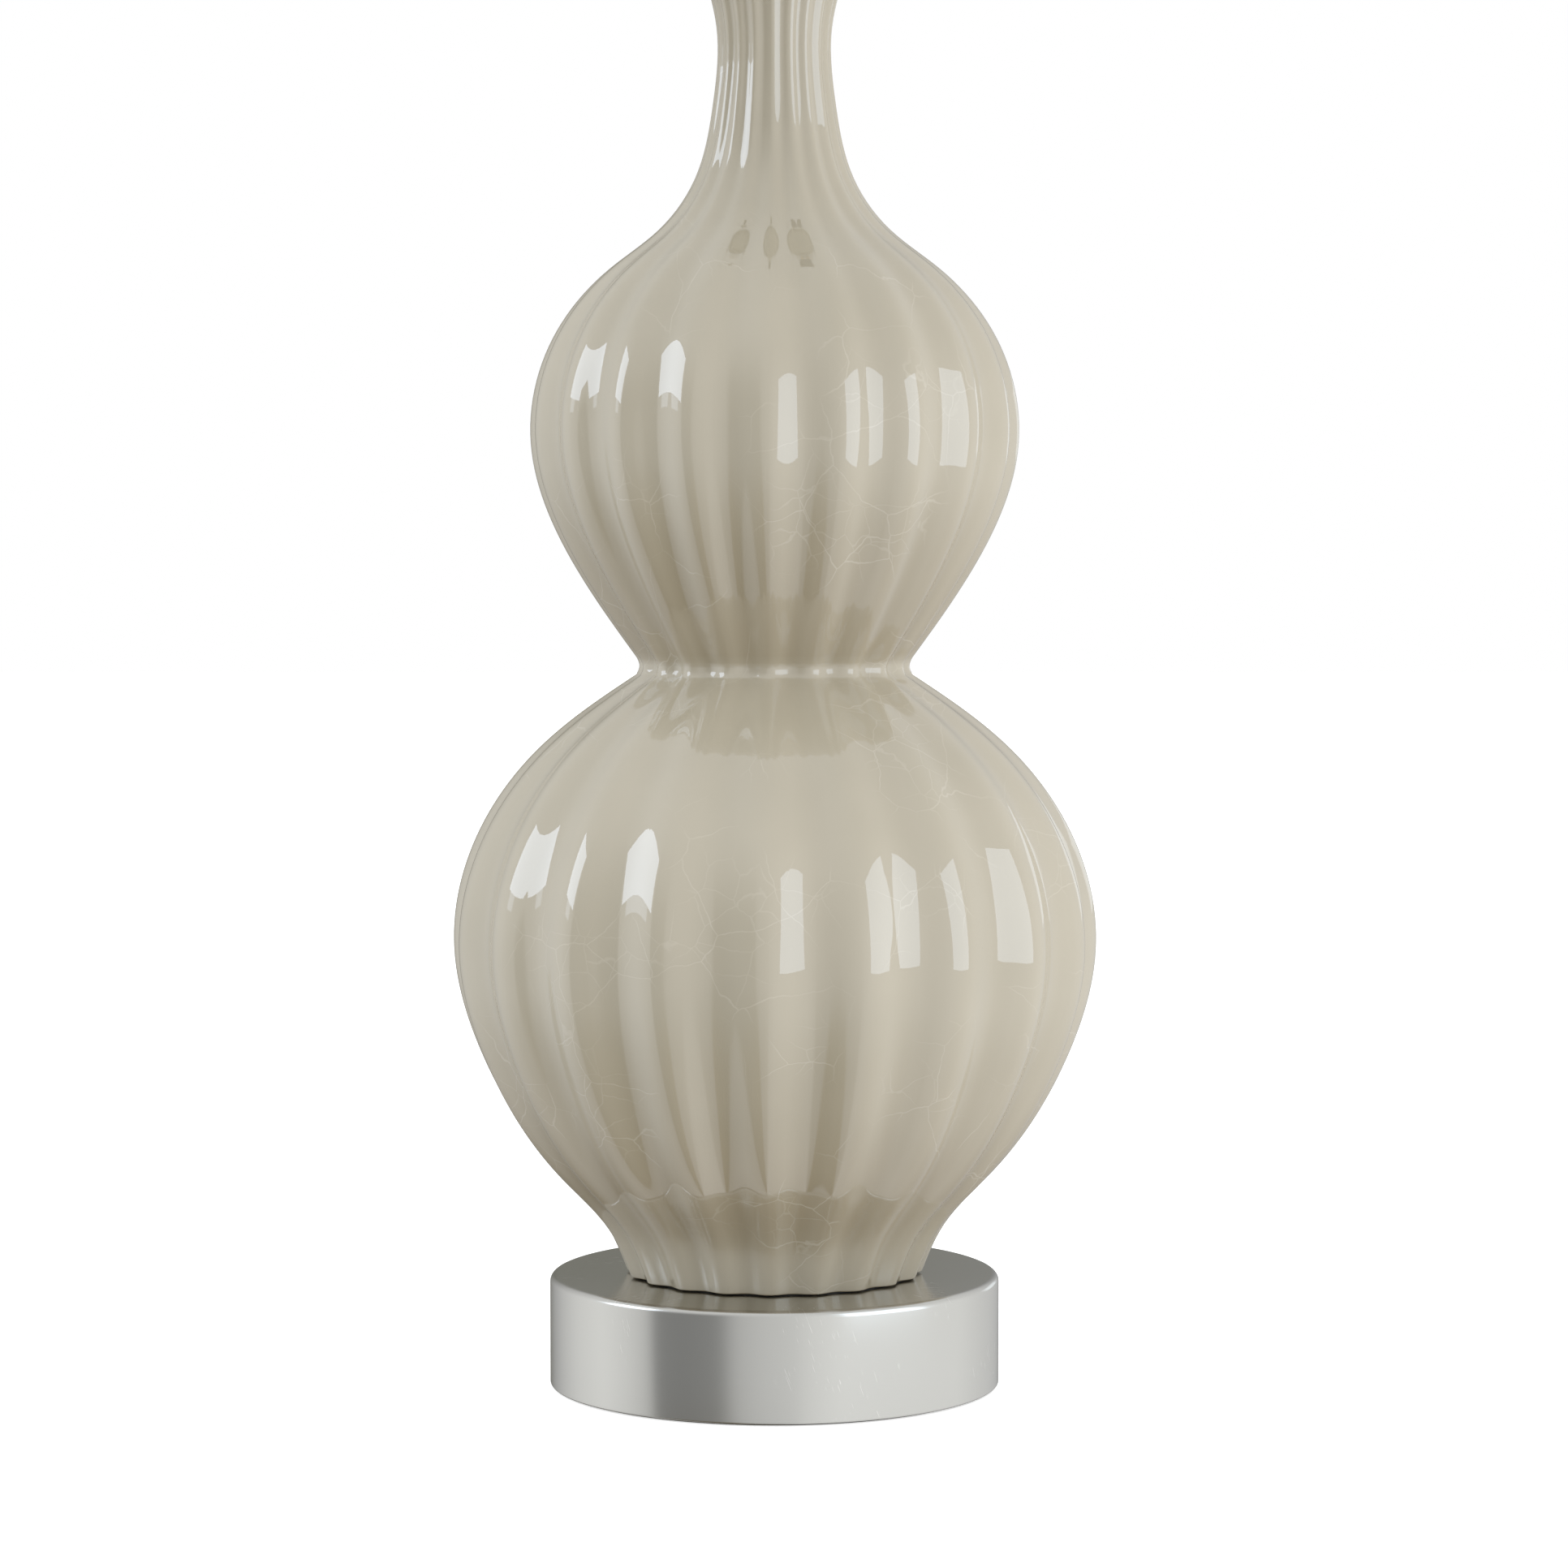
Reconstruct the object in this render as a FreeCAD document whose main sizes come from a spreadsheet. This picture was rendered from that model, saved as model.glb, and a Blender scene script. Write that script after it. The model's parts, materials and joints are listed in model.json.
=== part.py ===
import FreeCAD, Part
import math
import os

import Sketcher
from FreeCAD import Rotation, Vector

# Double gourd table lamp: a fluted, glazed gourd on a weighted metal drum, with a turn-knob lamp
# socket, a detachable harp and a hardback drum shade held by a finial.
# Millimetres.  The origin is on the surface that the lamp stands on, on the lamp's axis.
# +Z is up, -Y is the front with the turn knob, +Y is the back with the cord inlet.

# ---------------------------------------------------------------------------------------------
# Driving dimensions: name, millimetres (or degrees, or a count), what it is
# ---------------------------------------------------------------------------------------------
SIZES = (
    # base
    ("pad_thick", 2.0, "felt pad under the base"),
    ("pad_proud", 0.6, "how far the pad stands below the base's rim"),
    ("pad_clear", 0.6, "gap between the pad's edge and the base's wall"),
    ("base_radius", 76.2, "outside of the metal drum"),
    ("base_tall", 37.2, "metal drum, rim to top"),
    ("base_wall", 1.5, "sheet thickness of the drum"),
    ("base_round", 1.8, "bevel of the drum's top edge"),
    ("weight_thick", 14.0, "cast weight inside the drum"),
    ("weight_clear", 1.5, "gap between the weight and the drum's wall"),
    # cord inlet at the back of the base
    ("inlet_up", 12.2, "height of the inlet's axis above the floor"),
    ("inlet_bore", 3.4, "radius of the bushing's bore"),
    ("inlet_barrel", 4.6, "radius of the bushing's barrel"),
    ("inlet_proud", 1.4, "how far the bushing stands out of the wall"),
    ("inlet_inside", 7.0, "how far the barrel reaches inside the wall"),
    ("inlet_clear", 0.1, "gap round the barrel in the drum's hole"),
    # threaded pipe that holds the lamp together, with its washer and nut
    ("pipe_radius", 4.85, "outside of the pipe"),
    ("pipe_bore", 3.4, "radius of the pipe's bore, the cord's way"),
    ("pipe_clear", 0.3, "gap round the pipe in every hole that it passes"),
    ("pipe_below_nut", 3.0, "pipe that shows below the nut"),
    ("washer_radius", 13.0, "washer under the weight"),
    ("washer_thick", 1.5, "washer under the weight"),
    ("nut_flats", 14.3, "pipe nut across its flats"),
    ("nut_tall", 4.8, "pipe nut"),
    ("nut_clear", 0.05, "gap between the nut's bore and the pipe"),
    # fluted body
    ("gasket_thick", 0.5, "gasket between the foot and the base"),
    ("gasket_inset", 1.0, "how far the gasket's edge lies inside the foot's valleys"),
    ("gasket_wide", 7.0, "width of the gasket"),
    ("flute_count", 20, "flutes round the body"),
    ("flute_turn", -1.8, "degrees from the front to the first ridge"),
    ("flute_deep", 2.35, "ridge to valley at the foot, and in step with the radius above it"),
    ("body_wall", 6.0, "ceramic wall, level from a valley to the hollow"),
    ("body_floor", 8.0, "ceramic floor of the body"),
    ("foot_radius", 50.1, "ridges at the foot"),
    # neck hardware
    ("cap_over", 1.5, "how far the neck cap reaches past the lip's ridges"),
    ("cap_thick", 4.0, "thickness of the cap"),
    ("spindle_tall", 21.0, "turned spindle between the cap and the harp's saddle"),
    ("spindle_radius", 7.5, "radius of the spindle"),
    # harp and saddle
    ("saddle_thick", 1.8, "strip that the saddle is bent from"),
    ("saddle_wide", 11.0, "width of the saddle's strip"),
    ("saddle_arm_tall", 20.0, "height of the saddle's arms to their shoulders"),
    ("tongue_tall", 6.0, "tongue on top of each arm"),
    ("tongue_wide", 2.6, "width of the tongue"),
    ("harp_foot_span", 54.0, "distance between the harp's two legs"),
    ("harp_wire", 1.5, "radius of the harp's wire"),
    ("harp_leg", 30.0, "straight part of each leg above its tongue"),
    ("harp_span", 118.0, "widest distance between the wire's axes"),
    ("harp_bow_up", 112.0, "height of the widest place above the tongues"),
    ("harp_top_up", 224.0, "height of the wire's top above the tongues"),
    ("harp_shoulder", 26.0, "bend radius of the harp's top corners"),
    ("leg_gap", 0.3, "gap between a leg's end and its tongue"),
    ("ferrule_tall", 14.0, "sliding sleeve over each tongue"),
    ("ferrule_wall", 0.9, "wall of the sleeve"),
    ("ferrule_clear", 0.35, "gap between the sleeve and what it slides over"),
    ("crown_side", 12.0, "side of the square block on top of the harp"),
    ("crown_under", 2.6, "height of the block below the wire's axis"),
    ("crown_over", 3.6, "height of the block above the wire's axis"),
    ("crown_clear", 0.05, "gap round the wire in the block"),
    ("stud_radius", 3.1, "threaded stud for the finial"),
    ("stud_tall", 11.0, "threaded stud for the finial"),
    # lamp socket
    ("hub_radius", 7.5, "neck of the socket's cap"),
    ("hub_tall", 7.0, "neck of the socket's cap"),
    ("socket_radius", 16.6, "outside of the socket's shell"),
    ("socket_wall", 0.6, "sheet thickness of the shell and cap"),
    ("socket_cap_tall", 9.0, "socket's cap above its neck"),
    ("socket_cap_over", 0.8, "how far the cap reaches past the shell"),
    ("shell_tall", 44.0, "socket's shell"),
    ("liner_thick", 0.7, "paper liner inside the shell"),
    ("liner_clear", 0.3, "gap on each side of the liner"),
    ("block_tall", 20.0, "moulded switch block"),
    ("screw_radius", 13.2, "inside of the screw shell, where the bulb goes"),
    ("screw_wall", 0.4, "sheet thickness of the screw shell"),
    ("screw_tall", 23.0, "screw shell"),
    ("contact_radius", 4.0, "centre contact"),
    ("contact_tall", 2.4, "centre contact"),
    ("set_screw_radius", 1.6, "screw that locks the cap on the pipe"),
    ("set_screw_long", 5.0, "screw that locks the cap on the pipe"),
    # turn knob
    ("stem_radius", 1.6, "switch stem"),
    ("stem_out", 15.0, "how far the stem reaches out of the shell"),
    ("stem_clear", 0.08, "gap round the stem in the block"),
    ("stem_slot_clear", 1.2, "gap round the stem in the shell and liner"),
    ("knob_radius", 6.4, "turn knob at its tip"),
    ("knob_long", 17.0, "turn knob"),
    ("knob_hole_deep", 11.0, "hole for the stem"),
    ("knob_rib", 0.9, "depth of the grooves between the knob's ribs"),
    # drum shade
    ("shade_radius", 190.5, "outside of the shade"),
    ("shade_tall", 254.0, "shade, edge to edge"),
    ("shade_thick", 1.6, "laminated wall of the shade"),
    ("ring_size", 3.0, "section of the shade's two rings"),
    ("ring_clear", 0.2, "gap between a ring and the shade's wall"),
    ("ring_in", 3.0, "distance of a ring from the shade's edge"),
    ("shade_drop", 12.0, "how far the spider's hub lies below the shade's top ring"),
    ("washer_hub_radius", 11.0, "spider's hub"),
    ("washer_hub_thick", 1.8, "spider's hub"),
    ("washer_hub_clear", 0.4, "gap between the hub and the stud"),
    ("seat_gap", 0.3, "gap above and below the hub, so that the shade can turn"),
    ("spider_arms", 3, "arms of the spider"),
    ("arm_wide", 4.0, "width of an arm"),
    ("arm_thick", 2.2, "thickness of an arm"),
    ("arm_gap", 0.1, "gap between an arm's end and the top ring"),
    # finial
    ("finial_foot", 6.0, "radius of the finial's foot"),
    ("finial_foot_tall", 8.0, "height of the finial's foot"),
    ("finial_head", 10.0, "radius of the finial's head"),
    ("finial_head_tall", 16.0, "height of the finial's head"),
    ("finial_clear", 0.1, "gap round the stud in the finial"),
    ("finial_hole_spare", 1.5, "depth of the hole above the stud"),
)

# Outline of the body from its foot up: name, rise above the last place, radius over the ridges
OUTLINE = (
    ("flare", 15.7, 57.4),
    ("heel", 18.0, 73.5),
    ("hip", 16.0, 86.3),
    ("flank", 24.0, 99.3),
    ("belly", 39.0, 108.8),
    ("shoulder", 35.0, 101.1),
    ("slope", 30.0, 79.9),
    ("waist_under", 25.2, 46.6),
    ("waist", 2.8, 45.6),
    ("waist_over", 2.8, 46.5),
    ("bowl", 29.2, 66.4),
    ("bust", 45.0, 82.2),
    ("crest", 33.0, 74.6),
    ("brow", 24.0, 54.5),
    ("nape", 12.0, 39.1),
    ("throat", 18.0, 26.35),
    ("neck_low", 24.0, 20.6),
    ("neck", 25.0, 19.3),
    ("lip", 21.0, 24.5),
)
BAND_LONG = 24.0       # the body's outline is cut into bands of about this length
# Corners of one flute's section: share of its pitch, and share of its depth
FLUTE_SECTION = ((-0.5, 1.0), (-0.2, 0.0), (0.2, 0.0))
HIDDEN_SIDES = 20      # sides of the small round pieces that are out of sight
RING_SIDES = 40        # sides of the weight and of the shade's rings
WIRE_SIDES = 8         # sides of the harp's wire
NUT_SIDES = 6          # sides of the pipe nut
KNOB_RIBS = 8          # ribs round the turn knob
BEND_STEP = 12.0       # degrees that the harp's wire turns from one straight facet to the next

# ---------------------------------------------------------------------------------------------
# Document, sheet and lengths that know their own expression
# ---------------------------------------------------------------------------------------------
doc = FreeCAD.newDocument("DoubleGourdLamp")
sheet = doc.addObject("Spreadsheet::Sheet", "Sizes")
VALUES = {}
OUTLINE_SIZES = []
for station, rise, radius in OUTLINE:
    OUTLINE_SIZES.append((station + "_rise", rise, "body outline, rise to this place"))
    OUTLINE_SIZES.append((station + "_radius", radius, "body outline, radius over the ridges"))
for row, (alias, value, note) in enumerate(SIZES + tuple(OUTLINE_SIZES), start=1):
    sheet.set("A%d" % row, note)
    sheet.set("B%d" % row, str(value))
    sheet.setAlias("B%d" % row, alias)
    VALUES[alias] = value
doc.recompute()


class Size:
    """A length, with its value now and the sheet's expression that it follows."""

    def __init__(self, value, text):
        self.value = float(value)
        self.text = text

    def _joined(self, other, sign, turned=False):
        other = as_size(other)
        left, right = (other, self) if turned else (self, other)
        if sign == "+":
            value = left.value + right.value
        elif sign == "-":
            value = left.value - right.value
        elif sign == "*":
            value = left.value * right.value
        else:
            value = left.value / right.value
        return Size(value, "(%s %s %s)" % (left.text, sign, right.text))

    def __add__(self, other):
        return self._joined(other, "+")

    def __radd__(self, other):
        return self._joined(other, "+", turned=True)

    def __sub__(self, other):
        return self._joined(other, "-")

    def __rsub__(self, other):
        return self._joined(other, "-", turned=True)

    def __mul__(self, other):
        return self._joined(other, "*")

    def __rmul__(self, other):
        return self._joined(other, "*", turned=True)

    def __truediv__(self, other):
        return self._joined(other, "/")

    def __neg__(self):
        return Size(-self.value, "(-1 * %s)" % self.text)


def as_size(number):
    """A plain number as a length."""
    if isinstance(number, Size):
        return number
    return Size(number, "(%r)" % float(number))


def cell(alias):
    """The sheet's cell of this name."""
    return Size(VALUES[alias], "Sizes." + alias)


# ---------------------------------------------------------------------------------------------
# Building blocks
# ---------------------------------------------------------------------------------------------
PIECES = []


def place(piece, seat, x=0, y=0):
    """Put a piece at its seat's height, and beside the axis where x or y is given."""
    for axis, distance in (("x", x), ("y", y), ("z", seat)):
        distance = as_size(distance)
        if distance.value or "Sizes" in distance.text:
            piece.setExpression("Placement.Base." + axis, distance.text)


def new_body(label, seat=0, x=0, y=0):
    """An empty body, kept in the list of pieces."""
    body = doc.addObject("PartDesign::Body", label)
    body.Label = label
    place(body, seat, x, y)
    PIECES.append(body)
    return body


def sketch_on(body, name, role="XZ_Plane", lift=None):
    """A sketch on one of the body's own planes, lifted off it where lift is given."""
    sketch = body.newObject("Sketcher::SketchObject", name)
    plane = next(item for item in body.Origin.OriginFeatures if item.Role == role)
    sketch.AttachmentSupport = [(plane, "")]
    sketch.MapMode = "FlatFace"
    if lift is not None:
        sketch.setExpression("AttachmentOffset.Base.z", as_size(lift).text)
    return sketch


def fix(sketch, kind, geometry, point, size):
    """Bind one coordinate or radius of the sketch to a length."""
    size = as_size(size)
    if point is None:
        number = sketch.addConstraint(Sketcher.Constraint(kind, geometry, size.value))
    else:
        number = sketch.addConstraint(Sketcher.Constraint(kind, geometry, point, size.value))
    if "Sizes" in size.text:
        sketch.setExpression("Constraints[%d]" % number, size.text)


def outline(sketch, corners):
    """A closed loop of lines through the corners, each an (across, up) pair."""
    first = sketch.GeometryCount
    count = len(corners)
    points = [Vector(as_size(x).value, as_size(y).value, 0) for x, y in corners]
    for k in range(count):
        sketch.addGeometry(Part.LineSegment(points[k], points[(k + 1) % count]))
    for k, (across, up) in enumerate(corners):
        after = first + (k + 1) % count
        sketch.addConstraint(Sketcher.Constraint("Coincident", first + k, 2, after, 1))
        fix(sketch, "DistanceX", first + k, 1, across)
        fix(sketch, "DistanceY", first + k, 1, up)


def circle(sketch, radius, x=0, y=0):
    """A circle whose centre is fixed."""
    x, y = as_size(x), as_size(y)
    number = sketch.addGeometry(Part.Circle(Vector(x.value, y.value, 0), Vector(0, 0, 1),
                                            as_size(radius).value))
    fix(sketch, "Radius", number, None, radius)
    fix(sketch, "DistanceX", number, 3, x)
    fix(sketch, "DistanceY", number, 3, y)


def polygon(sketch, radii, sides, turn=0.5):
    """A closed loop of straight sides whose corners lie at the radii, taken in turn."""
    corners = []
    for k in range(sides):
        angle = 2 * math.pi * (k + turn) / sides
        radius = radii[k % len(radii)]
        corners.append((radius * math.cos(angle), radius * math.sin(angle)))
    outline(sketch, corners)


def turned(label, corners, seat=0):
    """A piece of revolution about its own Z axis."""
    body = new_body(label, seat)
    sketch = sketch_on(body, label + "_outline")
    outline(sketch, corners)
    feature = body.newObject("PartDesign::Revolution", label + "_turn")
    feature.Profile = sketch
    feature.ReferenceAxis = (sketch, ["V_Axis"])
    feature.Angle = 360
    sketch.Visibility = False
    return body


def extrude(body, kind, sketch, name, length, midplane=False, reverse=False):
    """Pad or pocket a sketch by a length."""
    feature = body.newObject("PartDesign::" + kind, name)
    feature.Profile = sketch
    feature.setExpression("Length", as_size(length).text)
    feature.Midplane = midplane
    feature.Reversed = reverse
    sketch.Visibility = False
    return feature


def drum(label, radius, tall, bore=None, seat=0, x=0, y=0, sides=None, bore_sides=None):
    """A disc, or a ring where a bore is given, round or with this many sides."""
    body = new_body(label, seat, x, y)
    sketch = sketch_on(body, label + "_plan", "XY_Plane")
    for size, count in ((radius, sides), (bore, bore_sides)):
        if size is not None and count:
            polygon(sketch, [size], count)
        elif size is not None:
            circle(sketch, size)
    extrude(body, "Pad", sketch, label + "_pad", tall)
    return body


def solid_feature(label, shape, seat=0):
    """A piece whose shape is made by formula."""
    piece = doc.addObject("Part::Feature", label)
    piece.Label = label
    piece.Shape = shape
    place(piece, seat)
    PIECES.append(piece)
    return piece


# ---------------------------------------------------------------------------------------------
# Base: drum, weight, pad and cord inlet
# ---------------------------------------------------------------------------------------------
base_radius = cell("base_radius")
base_wall = cell("base_wall")
base_tall = cell("base_tall")
base_inside = base_radius - base_wall
base_top = cell("pad_proud") + base_tall
pipe_radius = cell("pipe_radius")
pipe_hole = pipe_radius + cell("pipe_clear")

base_round = cell("base_round")
base_shell = turned("base_shell", [
    (0, base_tall - base_wall),
    (base_inside, base_tall - base_wall),
    (base_inside, 0),
    (base_radius, 0),
    (base_radius, base_tall - base_round),
    (base_radius - base_round, base_tall),
    (0, base_tall),
], seat=cell("pad_proud"))
pipe_plan = sketch_on(base_shell, "pipe_hole_plan", "XY_Plane")
polygon(pipe_plan, [pipe_hole], HIDDEN_SIDES)
extrude(base_shell, "Pocket", pipe_plan, "pipe_hole", base_tall * 2, midplane=True)
inlet_hole = cell("inlet_barrel") + cell("inlet_clear")
inlet_local = cell("inlet_up") - cell("pad_proud")
hole_sketch = sketch_on(base_shell, "inlet_hole_plan", "XZ_Plane")
circle(hole_sketch, inlet_hole, 0, inlet_local)
extrude(base_shell, "Pocket", hole_sketch, "inlet_hole", base_radius + base_wall)

weight_under = base_top - base_wall - cell("weight_thick")
drum("base_weight", base_inside - cell("weight_clear"), cell("weight_thick"), pipe_hole,
     seat=weight_under, sides=RING_SIDES)
drum("felt_pad", base_inside - cell("pad_clear"), cell("pad_thick"), sides=RING_SIDES)

# The bushing's own axis is upright, and it is then laid along +Y in the drum's back wall.
inlet_inner_end = base_inside - cell("inlet_inside")
inlet_bushing = drum("inlet_bushing", cell("inlet_barrel"),
                     base_radius + cell("inlet_proud") - inlet_inner_end, cell("inlet_bore"),
                     seat=cell("inlet_up"), y=inlet_inner_end, sides=HIDDEN_SIDES)
inlet_bushing.Placement.Rotation = Rotation(Vector(1, 0, 0), -90)

# ---------------------------------------------------------------------------------------------
# Pipe, washer and nut
# ---------------------------------------------------------------------------------------------
washer_under = weight_under - cell("washer_thick")
nut_under = washer_under - cell("nut_tall")
pipe_under = nut_under - cell("pipe_below_nut")
drum("pipe_washer", cell("washer_radius"), cell("washer_thick"), pipe_hole, seat=washer_under,
     sides=HIDDEN_SIDES, bore_sides=HIDDEN_SIDES)

drum("pipe_nut", cell("nut_flats") / (2 * math.cos(math.pi / NUT_SIDES)), cell("nut_tall"),
     pipe_radius + cell("nut_clear"), seat=nut_under, sides=NUT_SIDES)

# ---------------------------------------------------------------------------------------------
# Fluted double gourd
# ---------------------------------------------------------------------------------------------
body_under = base_top + cell("gasket_thick")
body_tall = sum((cell(station + "_rise") for station, rise, radius in OUTLINE), as_size(0))
body_top = body_under + body_tall


FLUTE_SHARE = VALUES["flute_deep"] / VALUES["foot_radius"]


def level_ring(height, corners):
    """Corners of one level section, repeated for each flute, as (share of pitch, radius)."""
    count = int(VALUES["flute_count"])
    points = []
    for k in range(count):
        for share, radius in corners:
            angle = math.radians(VALUES["flute_turn"] + 360.0 / count * (k + share))
            points.append(Vector(radius * math.sin(angle), -radius * math.cos(angle), height))
    return points


def fluted_ring(height, ridge):
    """The outside at one height: a valley and a ridge's two corners for each flute."""
    return level_ring(height, [(share, ridge * (1 - FLUTE_SHARE * depth))
                               for share, depth in FLUTE_SECTION])


def hollow_ring(height, ridge):
    """The hollow at one height, with a corner behind each valley."""
    return level_ring(height, [(0.5, ridge * (1 - FLUTE_SHARE) - VALUES["body_wall"])])


def flat_sided(rings):
    """A solid through rings of corners, each ring like the last but for its size."""
    faces = [Part.Face(Part.makePolygon(ring + ring[:1])) for ring in (rings[0], rings[-1])]
    for lower, upper in zip(rings, rings[1:]):
        for k in range(len(lower)):
            after = (k + 1) % len(lower)
            side = [lower[k], lower[after], upper[after], upper[k], lower[k]]
            faces.append(Part.Face(Part.makePolygon(side)))
    shell = Part.makeShell(faces)
    shell.sewShape()
    solid = Part.makeSolid(Part.Shell(shell.Faces))
    if solid.Volume < 0:
        solid.reverse()
    return solid


def station_places():
    """Heights and ridge radii of the outline's named places, from the foot to the lip."""
    places = [(0.0, VALUES["foot_radius"])]
    for station, rise, radius in OUTLINE:
        places.append((places[-1][0] + VALUES[station + "_rise"], VALUES[station + "_radius"]))
    return places


def outline_places():
    """Heights and ridge radii of the body's sections, from the foot to the lip.

    Smooth curves run from the foot to the waist, round the waist, and on to the lip.
    """
    curves, stretch = [], []
    names = ["foot"] + [station for station, rise, radius in OUTLINE]
    for name, (height, radius) in zip(names, station_places()):
        stretch.append(Vector(radius, 0, height))
        if name in ("waist_under", "waist_over", "lip"):
            curves.append(stretch)
            stretch = [stretch[-1]]
    places = [curves[0][0]]
    for stretch in curves:
        curve = Part.BSplineCurve()
        curve.interpolate(stretch)
        for start, end in zip(stretch, stretch[1:]):
            bands = max(1, round(start.distanceToPoint(end) / BAND_LONG))
            first, last = curve.parameter(start), curve.parameter(end)
            for band in range(1, bands + 1):
                places.append(curve.value(first + (last - first) * band / bands))
    return [(point.z, point.x) for point in places]


def gourd_shape():
    """The fluted body, hollowed from its floor to its lip, with a hole in the floor."""
    outside = flat_sided([fluted_ring(height, radius) for height, radius in outline_places()])
    floor = VALUES["body_floor"]
    inner = [(floor, VALUES["foot_radius"])] + station_places()[1:]
    inner[-1] = (inner[-1][0], VALUES["neck_radius"])
    hollow = flat_sided([hollow_ring(height, radius) for height, radius in inner])
    foot_hole = Part.makeCylinder(pipe_hole.value + VALUES["pipe_clear"], 2 * floor,
                                  Vector(0, 0, -floor / 2))
    return outside.cut(hollow).cut(foot_hole)


solid_feature("gourd_body", gourd_shape(), seat=body_under)

foot_valley = cell("foot_radius") - cell("flute_deep")
gasket_edge = foot_valley - cell("gasket_inset")
drum("foot_gasket", gasket_edge, cell("gasket_thick"), gasket_edge - cell("gasket_wide"),
     seat=base_top, sides=HIDDEN_SIDES, bore_sides=HIDDEN_SIDES)

# ---------------------------------------------------------------------------------------------
# Neck cap and spindle
# ---------------------------------------------------------------------------------------------
drum("neck_cap", cell("lip_radius") + cell("cap_over"), cell("cap_thick"), pipe_hole,
     seat=body_top, bore_sides=HIDDEN_SIDES)
spindle_under = body_top + cell("cap_thick")
spindle_tall = cell("spindle_tall")
drum("neck_spindle", cell("spindle_radius"), spindle_tall, pipe_hole, seat=spindle_under,
     sides=RING_SIDES, bore_sides=HIDDEN_SIDES)

# ---------------------------------------------------------------------------------------------
# Harp: saddle, wire, crown and sleeves
# ---------------------------------------------------------------------------------------------
saddle_under = spindle_under + spindle_tall
saddle_thick = cell("saddle_thick")
leg_x = cell("harp_foot_span") / 2
arm_in = leg_x - saddle_thick / 2
arm_out = leg_x + saddle_thick / 2
arm_tall = cell("saddle_arm_tall")
harp_saddle = new_body("harp_saddle", saddle_under)
saddle_sketch = sketch_on(harp_saddle, "saddle_side", "XZ_Plane")
outline(saddle_sketch, [
    (-arm_out, arm_tall),
    (-arm_out, saddle_thick),
    (-arm_out + saddle_thick, 0),
    (arm_out - saddle_thick, 0),
    (arm_out, saddle_thick),
    (arm_out, arm_tall),
    (arm_in, arm_tall),
    (arm_in, saddle_thick),
    (-arm_in, saddle_thick),
    (-arm_in, arm_tall),
])
extrude(harp_saddle, "Pad", saddle_sketch, "saddle_strip", cell("saddle_wide"), midplane=True)
for side, sign in (("left", -1), ("right", 1)):
    tongue_sketch = sketch_on(harp_saddle, "tongue_side_" + side, "XZ_Plane")
    outline(tongue_sketch, [
        (sign * arm_in, arm_tall),
        (sign * arm_out, arm_tall),
        (sign * arm_out, arm_tall + cell("tongue_tall")),
        (sign * arm_in, arm_tall + cell("tongue_tall")),
    ])
    extrude(harp_saddle, "Pad", tongue_sketch, "tongue_" + side, cell("tongue_wide"),
            midplane=True)
saddle_hole = sketch_on(harp_saddle, "saddle_hole_plan", "XY_Plane")
circle(saddle_hole, pipe_hole)
extrude(harp_saddle, "Pocket", saddle_hole, "saddle_hole", saddle_thick * 2, midplane=True)

tongue_top = saddle_under + arm_tall + cell("tongue_tall")
wire_under = tongue_top + cell("leg_gap")


def arc_points(centre, radius, first, last):
    """Points along an arc in the harp's plane, by angle in degrees, without its first point."""
    steps = max(1, math.ceil(abs(last - first) / BEND_STEP))
    points = []
    for step in range(1, steps + 1):
        angle = math.radians(first + (last - first) * step / steps)
        points.append(Vector(centre.x + radius * math.cos(angle), 0,
                             centre.z + radius * math.sin(angle)))
    return points


def harp_shape():
    """The harp's wire, from one leg's end up, over the top and down to the other.

    Each side is a straight leg, two equal arcs that swing out to the widest place, one long
    arc that leans in and a tight one into the level top, all tangent.
    """
    leg = VALUES["harp_foot_span"] / 2
    leg_up = VALUES["harp_leg"]
    wide = VALUES["harp_span"] / 2
    wide_up = VALUES["harp_bow_up"]
    bend = VALUES["harp_shoulder"]
    top_half = VALUES["crown_side"] / 2
    swing = 2 * math.degrees(math.atan2(wide - leg, wide_up - leg_up))
    swing_radius = (wide_up - leg_up) / (2 * math.sin(math.radians(swing)))
    across = wide - top_half - bend
    rise = VALUES["harp_top_up"] - wide_up - bend
    lean = 2 * math.degrees(math.atan2(across, rise))
    lean_radius = bend + rise / math.sin(math.radians(lean))
    right = [Vector(leg, 0, 0), Vector(leg, 0, leg_up)]
    right += arc_points(Vector(leg + swing_radius, 0, leg_up), swing_radius, 180, 180 - swing)
    right += arc_points(Vector(wide - swing_radius, 0, wide_up), swing_radius, -swing, 0)
    right += arc_points(Vector(wide - lean_radius, 0, wide_up), lean_radius, 0, lean)
    right += arc_points(Vector(top_half, 0, VALUES["harp_top_up"] - bend), bend, lean, 90)
    left = [Vector(-point.x, 0, point.z) for point in reversed(right)]
    spine = Part.makePolygon(right + left)
    section = []
    for k in range(WIRE_SIDES + 1):
        angle = 2 * math.pi * (k + 0.5) / WIRE_SIDES
        section.append(Vector(leg + VALUES["harp_wire"] * math.cos(angle),
                              VALUES["harp_wire"] * math.sin(angle), 0))
    return spine.makePipeShell([Part.makePolygon(section)], True, False, 1)


solid_feature("harp_wire", harp_shape(), seat=wire_under)

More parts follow.
